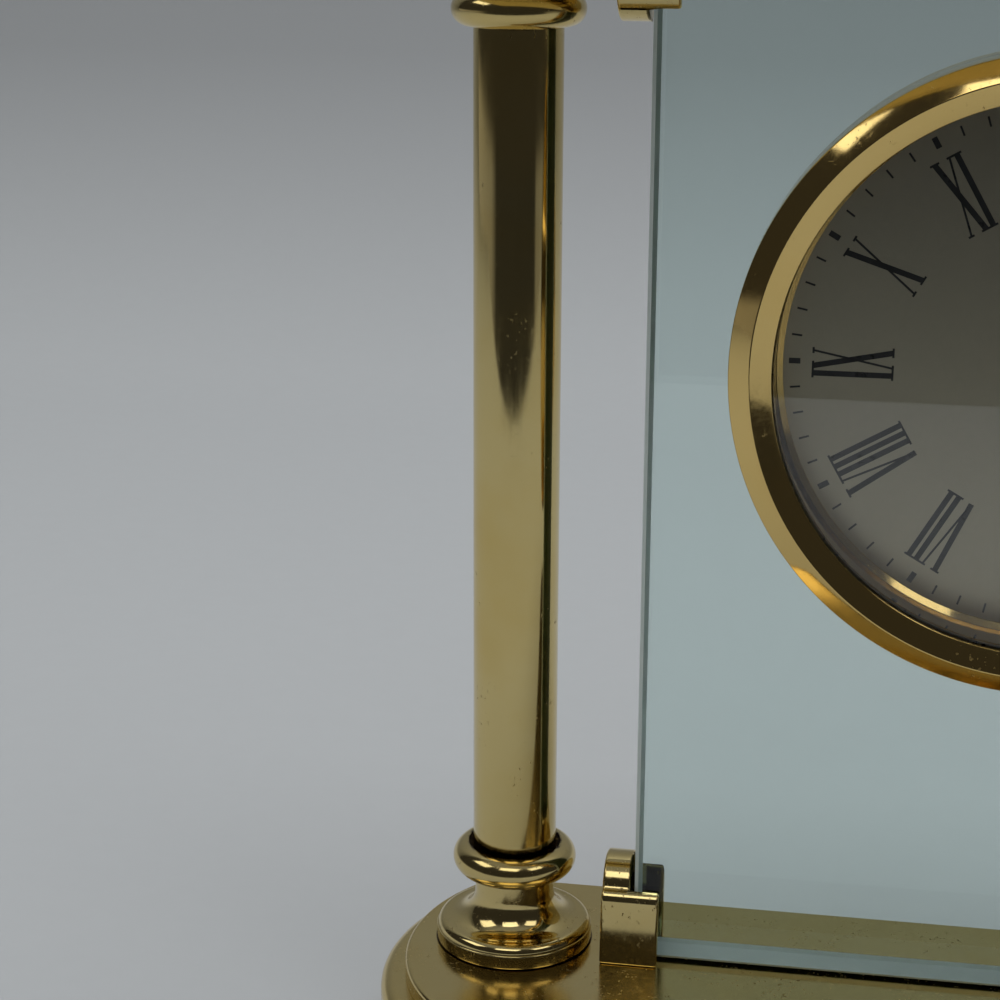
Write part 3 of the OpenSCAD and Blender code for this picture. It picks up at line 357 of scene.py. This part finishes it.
def plates():
    """The base's two slabs and the top's two, with holes for the rods and the clips' screws."""
    rods = [(side * COLUMN_X, COLUMN_Y, ROD_HOLE_R) for side, _ in SIDES]
    screws = [(side * CLIP_SCREW_X, COLUMN_Y, CLIP_HOLE_R) for side, _ in SIDES]
    plinth = [(PLINTH_WALL, PLINTH_HOLLOW_TOP), (PLINTH_WALL, FELT_TOP)]
    plinth += [(PLINTH_BREAK, FELT_TOP), (0.0, FELT_TOP + PLINTH_BREAK)]
    plinth += edge_round(PLINTH_TOP, SOFT_EDGE, True)
    lower = edge_round(PLINTH_TOP, JOINT_EDGE, False, 3) + edge_round(BASE_TOP, PLATE_EDGE, True)
    upper = edge_round(CEILING, PLATE_EDGE, False) + edge_round(CAP_Z, JOINT_EDGE, True, 3)
    cap = [(CAP_WALL, CAP_Z + CAP_HOLLOW), (CAP_WALL, CAP_Z)]
    cap += edge_round(CAP_Z, SOFT_EDGE, False) + edge_round(CAP_TOP, SOFT_EDGE, True)
    for name, node, grow, path, holes in (
        ("plinth_cast", "base_plinth", STEP_OUT, plinth, rods + screws),
        ("plate_lower", "base_plate", 0, lower, rods + screws),
        ("plate_upper", "top_plate", 0, upper, rods + screws),
        ("cap_cast", "top_cap", STEP_OUT, cap, rods),
    ):
        piece(slab(name, grow, path, holes), "polished_brass", "frame", node, finish="plate_brass")


# Columns


def turned_foot():
    """Outline of a foot, from the plate upward: rim, bead, cove, ring, recess, tube's socket."""
    rim = [(ROD_HOLE_R, 0), (FOOT_R, 0, 0.4)]
    rim += [(FOOT_R, FOOT_RIM - 0.1, 0.2), (FOOT_R - 0.2, FOOT_RIM)]
    out = rounded(rim)
    out += arc(*BEAD, 0, 90, 10)[1:]
    out += arc(*COVE, 270, 180, 24)[1:]
    out += arc(*RING, -114.9, 90, 28)
    out += [(RECESS_R, RECESS_FLOOR), (SOCKET_R, RECESS_FLOOR)]
    out += [(SOCKET_R, SOCKET_FLOOR), (ROD_HOLE_R, SOCKET_FLOOR)]
    return out


def columns():
    """Feet, capitals and tubes of both columns, and the domed nuts on top of the cap."""
    low, high = BASE_TOP + SOCKET_FLOOR, CEILING - SOCKET_FLOOR
    tube = [(TUBE_BORE_R, low), (TUBE_R, low, TUBE_EDGE)]
    tube += [(TUBE_R, high, TUBE_EDGE), (TUBE_BORE_R, high)]
    for side, word in SIDES:
        for base, kind, down in ((BASE_TOP, "foot_", False), (CEILING, "capital_", True)):
            bm = bmesh.new()
            lathe(bm, turned_foot(), at_column(side, base, down))
            made = new_object("turned_" + kind + word, bm, crease=TURNED_CREASE)
            piece(made, "polished_brass", "frame", "column_" + kind + word)
        bm = bmesh.new()
        lathe(bm, rounded(tube, 3), at_column(side, 0))
        made = new_object("drawn_tube_" + word, bm, crease=TURNED_CREASE)
        piece(made, "tube_brass", "frame", "column_tube_" + word)
    flange = [(0, 0), (NUT_FLANGE_R, 0, 0.15)]
    flange += [(NUT_FLANGE_R, NUT_FLANGE, 0.3), (NUT_R, NUT_FLANGE, 0.1)]
    nut = rounded(flange, 3)
    nut += arc(0, NUT_DOME_Z, NUT_R, 0, 90, 24)
    nut[-1] = (0.0, nut[-1][1])
    bm = bmesh.new()
    for side, _ in SIDES:
        lathe(bm, nut, at_column(side, CAP_TOP), NUT_STEPS)
    piece(new_object("domed_nuts", bm, crease=TURNED_CREASE), "polished_brass", "frame", "cap_nuts")


# Clips


def cutter(low, high):
    """A box between two corners in millimetres."""
    bm = bmesh.new()
    bmesh.ops.create_cube(bm, size=1.0)
    for v in bm.verts:
        v.co = Vector([(lo + (c + 0.5) * (hi - lo)) * MM for c, lo, hi in zip(v.co, low, high)])
    return new_object("cutter", bm, smooth=False)


def clip_mesh():
    """The lower left clip about the pane's middle: closed end, tall back jaw, short front jaw."""
    outline = [(-CLIP_HALF, 0), (CLIP_HALF, 0)] + arc(0, CLIP_ARCH_Z, CLIP_HALF, 0, 90, 28)
    front = arc(0, JAW_Z, JAW_HALF, 90, 158, 24)[1:]
    outline += [(JAW_FRONT_HALF * y / JAW_HALF, z) for y, z in front]
    outline += arc(*LIP, 107, 174.7, 10)
    bm = bmesh.new()
    left, right = (
        [bm.verts.new((x * MM, y * MM, z * MM)) for y, z in outline]
        for x in (CLIP_OUTER_X, CLIP_INNER_X)
    )
    bm.faces.new(left)
    bm.faces.new(right)
    wall(bm, left, right)
    obj = new_object("casting", bm, smooth=False)
    cutters = [
        cutter((SLOT_X, -SLOT_HALF, BELOW_CLIP), (PAST_CLIP, SLOT_HALF, ABOVE_CLIP)),
        cutter((SLOT_X, BEFORE_CLIP, SHORT_JAW_TOP), (PAST_CLIP, 0.0, ABOVE_CLIP)),
    ]
    for box in cutters:
        modifier = obj.modifiers.new("cut", "BOOLEAN")
        modifier.operation = "DIFFERENCE"
        modifier.solver = "EXACT"
        modifier.object = box
    bevel = obj.modifiers.new("edges", "BEVEL")
    bevel.width = CLIP_EDGE * MM
    bevel.use_clamp_overlap = False
    bevel.segments = 4
    bevel.limit_method = "ANGLE"
    bevel.angle_limit = math.radians(40)
    bpy.context.view_layer.update()
    shape = obj.evaluated_get(bpy.context.evaluated_depsgraph_get())
    mesh = bpy.data.meshes.new_from_object(shape)
    for spare in cutters + [obj]:
        bpy.data.objects.remove(spare)
    return mesh


def clips():
    """The four clips: the right ones are turned about the vertical, the upper ones about x."""
    mesh = clip_mesh()
    for side, word in SIDES:
        for level, z, tip in (("lower", BASE_TOP, 0), ("upper", CEILING, math.pi)):
            own = mesh.copy()
            swing = math.pi if side > 0 else 0
            turn = Matrix.Rotation(tip, 4, "X") @ Matrix.Rotation(swing, 4, "Z")
            own.transform(Matrix.Translation((0, COLUMN_Y * MM, z * MM)) @ turn)
            place = level + "_" + word
            obj = link_mesh("clip_cast_" + place, own, crease=CLIP_CREASE, weighted=True)
            piece(obj, "polished_brass", "frame", "clip_" + place)


# Insert


def insert():
    """The bezel with its fine rounds."""
    bm = bmesh.new()
    lathe(bm, rounded(BEZEL, 5), at_dial, BEZEL_STEPS)
    piece(new_object("bezel_turned", bm, crease=TURNED_CREASE), "bezel_brass", "frame", "bezel")


def numeral_strokes(word):
    """Strokes and serifs of a centred numeral, each two points and a width; its foot is inward."""
    at, places = 0.0, []
    for before, kind in zip(" " + word, word):
        gap = 0.0 if before == " " else STEM_GAP if before == kind == "I" else LETTER_GAP
        at += HALF_WIDTH[kind] + gap
        places.append((kind, at))
        at += HALF_WIDTH[kind]
    strokes, tops, bottoms = [], [], []
    for kind, x in places:
        x -= at / 2
        for (one_u, one_v), (two_u, two_v), width in LETTERS[kind]:
            one, two = (x + one_u, one_v), (x + two_u, two_v)
            strokes.append((one, two, width))
            top, bottom = (one, two) if one_v > two_v else (two, one)
            tops.append((top[0], width))
            if kind != "V":
                bottoms.append((bottom[0], width))
    for row, v in ((tops, HEAD_LINE), (bottoms, FOOT_LINE)):
        runs = []
        for u, width in sorted(row):
            low, high = u - width / 2 - SERIF_REACH, u + width / 2 + SERIF_REACH
            if runs and low < runs[-1][1] + SERIF_JOIN:
                runs[-1][1] = high
            else:
                runs.append([low, high])
        strokes += [((low, v), (high, v), THIN) for low, high in runs]
    return strokes


def pad(bm, one, two, width, turn):
    """A printed bar on the dial between two (u, v) points, turned clockwise about the centre."""
    along = Vector((two[0] - one[0], two[1] - one[1])).normalized()
    across = Vector((-along.y, along.x)) * (width / 2)
    c, s = math.cos(turn), math.sin(turn)
    corners = []
    for (u, v), sign in ((one, -1), (two, -1), (two, 1), (one, 1)):
        x, y = u + sign * across.x, v + sign * across.y
        corners.append((x * c + y * s, -x * s + y * c))
    low, high = (
        [bm.verts.new(Vector((x, PANE_FRONT - DIAL_F - f, DIAL_Z + y)) * MM) for x, y in corners]
        for f in (PRINT_LOW, PRINT_HIGH)
    )
    bm.faces.new(low[::-1])
    bm.faces.new(high)
    wall(bm, low, high)


def dial_print():
    """Minute marks, hour marks and Roman numerals, as raised print in one piece."""
    bm = bmesh.new()
    for minute in range(60):
        half, width = MINUTE_MARK if minute % 5 else HOUR_MARK
        pad(bm, (0.0, MARK_R - half), (0.0, MARK_R + half), width, math.radians(6 * minute))
    for hour, word in enumerate(NUMERALS):
        for one, two, width in numeral_strokes(word):
            pad(bm, one, two, width, math.radians(30 * hour))
    piece(new_object("dial_print", bm, smooth=False), "black_hand", "frame")


# Shaders


class Tree:
    """A node tree with short calls for the nodes that it needs."""

    def __init__(self, tree):
        self.tree = tree
        self.coords = self.node("ShaderNodeTexCoord")

    def node(self, kind, **settings):
        made = self.tree.nodes.new(kind)
        for key, value in settings.items():
            setattr(made, key, value)
        return made

    def link(self, out, into):
        self.tree.links.new(out, into)

    def axis(self, vector, index):
        made = self.node("ShaderNodeSeparateXYZ")
        self.link(vector, made.inputs[0])
        return made.outputs[index]

    def ramp(self, fac, low, high, values=(0.0, 1.0)):
        """Maps a factor between two positions to two values."""
        made = self.node("ShaderNodeMapRange")
        for key, value in zip(("From Min", "From Max", "To Min", "To Max"), (low, high, *values)):
            made.inputs[key].default_value = value
        self.link(fac, made.inputs["Value"])
        return made.outputs["Result"]

    def ramp_mm(self, length, low, high):
        """Maps a length in metres between two lengths in millimetres to 0 and 1."""
        return self.ramp(length, low * MM, high * MM)

    def math(self, operation, a, b=0.0):
        """Calculates with two values, each a number or a socket."""
        made = self.node("ShaderNodeMath", operation=operation)
        for socket, value in zip(made.inputs, (a, b)):
            if isinstance(value, (int, float)):
                socket.default_value = value
            else:
                self.link(value, socket)
        return made.outputs[0]

    def mix(self, fac, low, high):
        """Mixes two colours, each a tuple or a socket."""
        made = self.node("ShaderNodeMix", data_type="RGBA")
        self.link(fac, made.inputs["Factor"])
        for socket, value in ((made.inputs[6], low), (made.inputs[7], high)):
            if isinstance(value, tuple):
                socket.default_value = (*value, 1.0)
            else:
                self.link(value, socket)
        return made.outputs[2]


class Shader(Tree):
    """A material with one Principled shader, whose patterns lie in the object's own coordinates."""

    def __init__(self, name):
        self.material = bpy.data.materials.new(name)
        self.material.use_nodes = True
        self.material.node_tree.nodes.clear()
        super().__init__(self.material.node_tree)
        self.place = self.coords.outputs["Object"]
        self.bsdf = self.node("ShaderNodeBsdfPrincipled")
        self.link(self.bsdf.outputs[0], self.node("ShaderNodeOutputMaterial").inputs["Surface"])

    def set(self, **values):
        for key, value in values.items():
            self.bsdf.inputs[key.replace("_", " ")].default_value = value

    def drive(self, **outs):
        """Links sockets to the shader's inputs."""
        for key, out in outs.items():
            self.link(out, self.bsdf.inputs[key.replace("_", " ")])

    def stretched(self, scale):
        mapping = self.node("ShaderNodeMapping")
        mapping.inputs["Scale"].default_value = scale
        self.link(self.place, mapping.inputs["Vector"])
        return mapping.outputs["Vector"]

    def noise(self, scale, detail=3.0, roughness=0.5, vector=None):
        made = self.node("ShaderNodeTexNoise")
        made.inputs["Scale"].default_value = scale
        made.inputs["Detail"].default_value = detail
        made.inputs["Roughness"].default_value = roughness
        self.link(vector or self.place, made.inputs["Vector"])
        return made.outputs["Fac"]

    def bump(self, height, strength, distance):
        made = self.node("ShaderNodeBump")
        made.inputs["Strength"].default_value = strength
        made.inputs["Distance"].default_value = distance
        self.link(height, made.inputs["Height"])
        self.drive(Normal=made.outputs["Normal"])


# Patterns of the materials: noise scale per metre, detail and roughness; stretch along x, y and z
CLOUDS = (55.0, 4.0, 0.6)
FINE_GRAIN = (900.0, 5.0, 0.65)
SCRATCHES = (420.0, 3.0, 0.7)
PIT_PATCHES = (130.0, 3.0, 0.6)
PITS = (1900.0, 2.0, 0.5)
RAGGED = (800.0, 4.0, 0.7)
SMEAR = (60.0, 3.0, 0.6)
PAPER_GRAIN = (180.0, 4.0, 0.6)
EVEN_GRAIN = (1.0, 1.0, 1.0)
DRAWN_GRAIN = (1.0, 1.0, 0.12)
SCRATCH_STRETCH = (1.0, 1.0, 14.0)
PIT_STRETCH = (1.0, 1.0, 0.6)

# Noise levels between which an effect sets in
MIDDLE_LEVELS = (0.3, 0.7)
TARNISH_LEVELS = (0.42, 0.7)
GLOSS_LEVELS = (0.35, 0.75)
WEAR_LEVELS = (0.45, 0.8)
SCRATCH_LEVELS = (0.66, 0.72)
PATCH_LEVELS = (0.56, 0.72)
PIT_LEVELS = (0.64, 0.70)

# Brass: heights in metres where pits gather and what they add there, then what wear does
LOW_BRASS = (0.030, 0.080, (0.10, 0.02))
HIGH_BRASS = (0.150, 0.163, (0.0, 0.10))
TARNISH_SHARES = (0.93, 0.86, 0.66)
PIT_TONE = (0.09, 0.05, 0.02)
WEAR_ROUGHNESS = 0.07
SCRATCH_ROUGHNESS = 0.08
PIT_ROUGHNESS = 0.4
SCRATCH_DEPTH = 0.4
BRASS_BUMP = 0.05
FINE_RELIEF = 0.00004

# Tarnish round the tubes' ends in the recesses, and painted shade in the joints on the plates, in
# millimetres: from where each fades to where it is full
TARNISH_AND_SHADE_TONE = (0.06, 0.032, 0.014)
TARNISH_RAGGED = 0.4
TARNISH_RADII = (RECESS_R + 0.25, RECESS_R - 0.05)
TARNISH_HEIGHTS = (66.0, 64.5)
JOINT_SHADE = (0.18, 0.08)
RIM_SHADE = (0.32, 0.18)

# Glass: the share of a face's normal along the pane's axis where its edge begins, and how it looks
SMEAR_TONE = 0.985
EDGE_FACES = (0.98, 0.9)
UPRIGHT_EDGES = (0.4, 0.3)
EDGE_GREEN = (0.035, 0.055, 0.030)
EDGE_HAZE = 0.55
EDGE_HAZE_OUTSIDE = 0.12
EDGE_OPAQUE = 0.85


def recess_tarnish_and_joint_shade(s, plate):
    """Mask of the tarnish round a tube's end, and of painted shade in the joint between a foot and
    its plate.
    """
    middle = (BASE_TOP + CEILING) / 2
    to_plate = (CEILING - BASE_TOP) / 2
    across = s.math("SUBTRACT", s.math("ABSOLUTE", s.axis(s.place, 0)), COLUMN_X * MM)
    along = s.math("SUBTRACT", s.axis(s.place, 1), COLUMN_Y * MM)
    squares = s.math("ADD", s.math("MULTIPLY", across, across), s.math("MULTIPLY", along, along))
    radius = s.math("SQRT", squares)
    ragged = s.ramp(s.noise(*RAGGED), *MIDDLE_LEVELS, (-TARNISH_RAGGED, TARNISH_RAGGED))
    near = s.ramp_mm(s.math("ADD", radius, s.math("MULTIPLY", ragged, MM)), *TARNISH_RADII)
    height = s.math("ABSOLUTE", s.math("SUBTRACT", s.axis(s.place, 2), middle * MM))
    ring = s.math("MULTIPLY", near, s.ramp_mm(height, *TARNISH_HEIGHTS))
    # painted shade: darker within a fraction of a millimetre of the plates' faces, where the parts
    # meet
    low = s.ramp_mm(s.math("ABSOLUTE", s.math("SUBTRACT", height, to_plate * MM)), *JOINT_SHADE)
    if plate:
        rim = s.math("ABSOLUTE", s.math("SUBTRACT", radius, (FOOT_R - 0.1) * MM))
        low = s.math("MULTIPLY", s.ramp_mm(rim, *RIM_SHADE), low)
    return s.math("MAXIMUM", ring, low)


def aged_brass(
    name, colour, tarnish=0.5, gloss=(0.06, 0.13), grain=EVEN_GRAIN, pits=0.6, joints=None
):
    """Lacquered brass: cloudy tarnish, dark pits that gather near the plates, hair scratches.

    Tarnish_and_shade is "plate" or "piece": tarnish lies round the tubes' ends, and painted shade
    lies in the joints of a plate or of what stands on it.
    """
    s = Shader(name)
    s.set(Metallic=1.0)
    cloud = s.noise(*CLOUDS)
    fine = s.noise(*FINE_GRAIN, s.stretched(grain))
    scratch = s.ramp(s.noise(*SCRATCHES, s.stretched(SCRATCH_STRETCH)), *SCRATCH_LEVELS)
    height = s.axis(s.place, 2)
    near_plates = s.math("ADD", s.ramp(height, *LOW_BRASS), s.ramp(height, *HIGH_BRASS))
    patches = s.ramp(s.math("ADD", s.noise(*PIT_PATCHES), near_plates), *PATCH_LEVELS)
    holes = s.ramp(s.noise(*PITS, s.stretched(PIT_STRETCH)), *PIT_LEVELS)
    spots = s.math("MULTIPLY", holes, patches)
    warm = tuple(c * k for c, k in zip(colour, TARNISH_SHARES))
    tone = s.mix(s.ramp(cloud, *TARNISH_LEVELS, (0.0, tarnish)), colour, warm)
    tone = s.mix(s.math("MULTIPLY", spots, pits), tone, PIT_TONE)
    # tarnish in the recesses, and painted shade in the joints on the plates
    if joints:
        tone = s.mix(recess_tarnish_and_joint_shade(s, joints == "plate"), tone, TARNISH_AND_SHADE_TONE)
    worn = s.ramp(fine, *WEAR_LEVELS, (0.0, WEAR_ROUGHNESS))
    worn = s.math("ADD", s.ramp(cloud, *GLOSS_LEVELS, gloss), worn)
    worn = s.math("ADD", worn, s.math("MULTIPLY", scratch, SCRATCH_ROUGHNESS))
    worn = s.math("ADD", worn, s.math("MULTIPLY", spots, PIT_ROUGHNESS))
    s.drive(Base_Color=tone, Roughness=worn)
    sunk = s.math("ADD", spots, s.math("MULTIPLY", scratch, SCRATCH_DEPTH))
    s.bump(s.math("SUBTRACT", fine, sunk), BRASS_BUMP, FINE_RELIEF)
    return s.material


def plain(
    name, colour, roughness, metallic=0.0, mottled=0.12, scale=400.0, relief=0.1, depth=FINE_RELIEF
):
    """A mottled surface of one colour with a fine relief, its depth in metres."""
    s = Shader(name)
    s.set(Metallic=metallic)
    speck = s.noise(scale, 5.0, 0.6)
    low = tuple(c * (1.0 - mottled) for c in colour)
    high = tuple(min(1.0, c * (1.0 + mottled)) for c in colour)
    s.drive(
        Base_Color=s.mix(s.ramp(speck, *MIDDLE_LEVELS), low, high),
        Roughness=s.ramp(speck, *MIDDLE_LEVELS, (roughness * 0.85, roughness * 1.15)),
    )
    s.bump(speck, relief, depth)
    return s.material


def clear(name, colour, ior=1.52, haze=0.02, edge=None):
    """Clear glass or plastic with a faint smear.

    Where edge gives a colour, the narrow faces between front and back have it as seen through the
    glass, and the upright ones are dark green from outside.
    """
    s = Shader(name)
    s.set(IOR=ior, Transmission_Weight=1.0)
    smear = s.noise(*SMEAR)
    low = tuple(c * SMEAR_TONE for c in colour)
    tint = s.mix(s.ramp(smear, *MIDDLE_LEVELS), low, colour)
    gloss = s.ramp(smear, *WEAR_LEVELS, (0.0, haze))
    if edge:
        facing = s.math("ABSOLUTE", s.axis(s.coords.outputs["Normal"], 1))
        mask = s.ramp(facing, *EDGE_FACES)
        outside = s.math("SUBTRACT", 1.0, s.node("ShaderNodeNewGeometry").outputs["Backfacing"])
        outside = s.math("MULTIPLY", outside, s.ramp(facing, *UPRIGHT_EDGES))
        tint = s.mix(outside, s.mix(mask, tint, edge), EDGE_GREEN)
        gloss = s.math("MAXIMUM", gloss, s.math("MULTIPLY", mask, EDGE_HAZE))
        gloss = s.math("MINIMUM", gloss, s.ramp(outside, 0.0, 1.0, (1.0, EDGE_HAZE_OUTSIDE)))
        s.drive(Transmission_Weight=s.math("SUBTRACT", 1.0, s.math("MULTIPLY", mask, EDGE_OPAQUE)))
    s.drive(Base_Color=tint, Roughness=gloss)
    return s.material


MATERIALS = {
    "polished_brass": aged_brass(
        "cast_brass", (0.68, 0.54, 0.24), gloss=(0.08, 0.16), joints="piece"
    ),
    "plate_brass": aged_brass(
        "plate_brass", (0.73, 0.575, 0.25), gloss=(0.13, 0.20), joints="plate"
    ),
    "tube_brass": aged_brass("tube_brass", (0.70, 0.56, 0.25), tarnish=0.6, grain=DRAWN_GRAIN),
    "bezel_brass": aged_brass(
        "bezel_brass", (0.80, 0.58, 0.22), tarnish=0.25, gloss=(0.05, 0.10), pits=0.4
    ),
    "felt": plain(
        "felt", (0.035, 0.06, 0.05), 0.95, mottled=0.4, scale=1500.0, relief=0.6, depth=0.0003
    ),
    "plated_steel": plain(
        "plated_steel", (0.60, 0.61, 0.62), 0.3, metallic=1.0, mottled=0.08, scale=700.0
    ),
    "cast_iron": plain(
        "cast_iron", (0.13, 0.13, 0.14), 0.7, metallic=0.6, mottled=0.3, scale=500.0,
        relief=0.5, depth=0.0003,
    ),
    "pane_glass": clear("pane_glass", (0.80, 0.93, 0.91), edge=(0.72, 0.82, 0.79)),
    "lens_glass": clear("lens_glass", (0.97, 0.985, 0.98)),
    "clear_liner": clear("clear_liner", (0.90, 0.91, 0.89), ior=1.45, haze=0.3),
    "gasket_rubber": plain("gasket_rubber", (0.03, 0.03, 0.03), 0.8),
    "silvered_dial": plain(
        "silvered_dial", (0.51, 0.465, 0.35), 0.34, metallic=0.85, mottled=0.03, scale=1200.0,
        relief=0.15, depth=0.00003,
    ),
    "black_hand": plain("black_hand", (0.015, 0.015, 0.017), 0.3),
    "dark_plastic": plain("dark_plastic", (0.03, 0.03, 0.033), 0.5, relief=0.3, scale=1800.0),
    "white_plastic": plain("white_plastic", (0.72, 0.72, 0.69), 0.45, mottled=0.03),
    "gear_brass": plain("gear_brass", (0.70, 0.52, 0.22), 0.28, metallic=1.0),
    "gear_plastic": plain("gear_plastic", (0.72, 0.66, 0.48), 0.4, mottled=0.04),
    "arbor_steel": plain("arbor_steel", (0.55, 0.56, 0.58), 0.25, metallic=1.0),
    "coil_copper": plain(
        "coil_copper", (0.55, 0.22, 0.09), 0.35, metallic=0.9, mottled=0.25, scale=3000.0,
        relief=0.5, depth=0.0001,
    ),
    "board_green": plain("board_green", (0.03, 0.15, 0.07), 0.45),
    "cell_wrap": plain("cell_wrap", (0.07, 0.10, 0.14), 0.35),
}


def dress_nodes():
    """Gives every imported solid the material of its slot; the lens gasket shows a brass colour."""
    slots = {row["node"]: row["material_slot"] for row in frame["record"]["subparts"]}
    for name, obj in nodes.items():
        obj.data.materials.clear()
        obj.data.materials.append(MATERIALS[slots[name]])
    gold = plain("gold_gasket", (0.50, 0.36, 0.12), 0.3, metallic=0.9, mottled=0.1, scale=900.0)
    nodes["lens_gasket"].data.materials[0] = gold


# Stage, lights and camera


def backdrop():
    """A table that sweeps up into a wall, with painted shade that darkens the wall above the table
    and fades again higher up.
    """
    points = [(PAPER_FRONT, -PAPER_FRONT_DROP), (PAPER_FRONT, 0.0)]
    r = BACKDROP_RADIUS
    points += arc(BACKDROP_Y - r, r, r, -90, 0, SWEEP_STEPS)
    points.append((BACKDROP_Y, BACKDROP_TOP))
    bm = bmesh.new()
    rows = [[bm.verts.new((x, y, z)) for y, z in points] for x in (-PAPER_HALF, PAPER_HALF)]
    for i in range(len(points) - 1):
        bm.faces.new((rows[0][i], rows[0][i + 1], rows[1][i + 1], rows[1][i]))
    floor = new_object("backdrop", bm, crease=PAPER_CREASE)
    s = Shader("backdrop_paper")
    s.set(Roughness=PAPER_ROUGHNESS)
    low = tuple(c * PAPER_LOW_TONE for c in PAPER)
    tone = s.mix(s.ramp(s.noise(*PAPER_GRAIN), *MIDDLE_LEVELS), low, PAPER)
    # painted shade: the paper is darker a little above the table and lighter again higher up
    shaded_paper = tuple(c * WALL_SHADE_TONE for c in PAPER)
    height = s.axis(s.place, 2)
    shade_fading = s.ramp(height, *WALL_SHADE_FADES, (0.0, 0.9))
    painted_shade = s.math("SUBTRACT", s.ramp(height, *WALL_SHADE_FROM), shade_fading)
    s.drive(Base_Color=s.mix(painted_shade, tone, shaded_paper))
    floor.data.materials.append(s.material)


def room():
    """A room dark toward the camera, mid grey elsewhere, and pale where the camera sees it."""
    world = bpy.data.worlds.new("room")
    world.use_nodes = True
    s = Tree(world.node_tree)
    x, y, z = (s.axis(s.coords.outputs["Generated"], i) for i in range(3))
    turn = s.math("ARCTAN2", x, s.math("MULTIPLY", y, -1.0))
    ramp = s.node("ShaderNodeValToRGB")
    stops = ramp.color_ramp.elements
    stops[0].position, stops[1].position = ROOM[0][0], ROOM[-1][0]
    for at, level in ROOM[1:-1]:
        stops.new(at)
    for stop, (at, level) in zip(stops, ROOM):
        stop.color = (level, level, level, 1.0)
    s.link(s.ramp(turn, -math.pi, math.pi), ramp.inputs["Fac"])
    high = s.mix(s.ramp(z, *HIGH_FROM), ramp.outputs["Color"], ROOM_HIGH)
    above = s.mix(s.ramp(z, *ABOVE_FROM), high, ROOM_ABOVE)
    path = s.node("ShaderNodeLightPath").outputs
    bounces = s.math("ADD", path["Glossy Depth"], path["Diffuse Depth"])
    straight = s.math("LESS_THAN", bounces, 0.5)
    through_glass = s.math("MULTIPLY", path["Is Transmission Ray"], straight)
    seen = s.math("MAXIMUM", path["Is Camera Ray"], through_glass)
    s.link(s.mix(seen, above, ROOM_SEEN), world.node_tree.nodes["Background"].inputs["Color"])
    bpy.context.scene.world = world


def lamps():
    """Soft light from overhead and three windows high in front, to the left and to the right."""
    for name, at, size, power, glossy in LAMPS:
        light = bpy.data.lights.new(name, "AREA")
        light.shape = "RECTANGLE"
        light.size, light.size_y = size
        light.energy = power
        obj = bpy.data.objects.new(name, light)
        obj.location = at
        obj.rotation_euler = (Vector(LAMP_AIM) - Vector(at)).to_track_quat("-Z", "Y").to_euler()
        obj.visible_glossy = glossy
        bpy.context.scene.collection.objects.link(obj)


def camera():
    """The camera at the photograph's angle."""
    data = bpy.data.cameras.new("camera")
    data.sensor_width = SENSOR
    data.lens = CAMERA_LENS
    data.clip_start = CLIP_START
    obj = bpy.data.objects.new("camera", data)
    yaw, pitch, roll = (math.radians(a) for a in (CAMERA_YAW, CAMERA_PITCH, CAMERA_ROLL))
    turned = Matrix.Rotation(yaw, 4, "Z") @ Matrix.Rotation(math.pi / 2 - pitch, 4, "X")
    obj.matrix_world = Matrix.Translation(CAMERA_AT) @ turned @ Matrix.Rotation(roll, 4, "Z")
    bpy.context.scene.collection.objects.link(obj)
    bpy.context.scene.camera = obj


bpy.context.scene.view_settings.view_transform = "Standard"
dress_nodes()
plates()
columns()
clips()
insert()
dial_print()
backdrop()
room()
lamps()
camera()
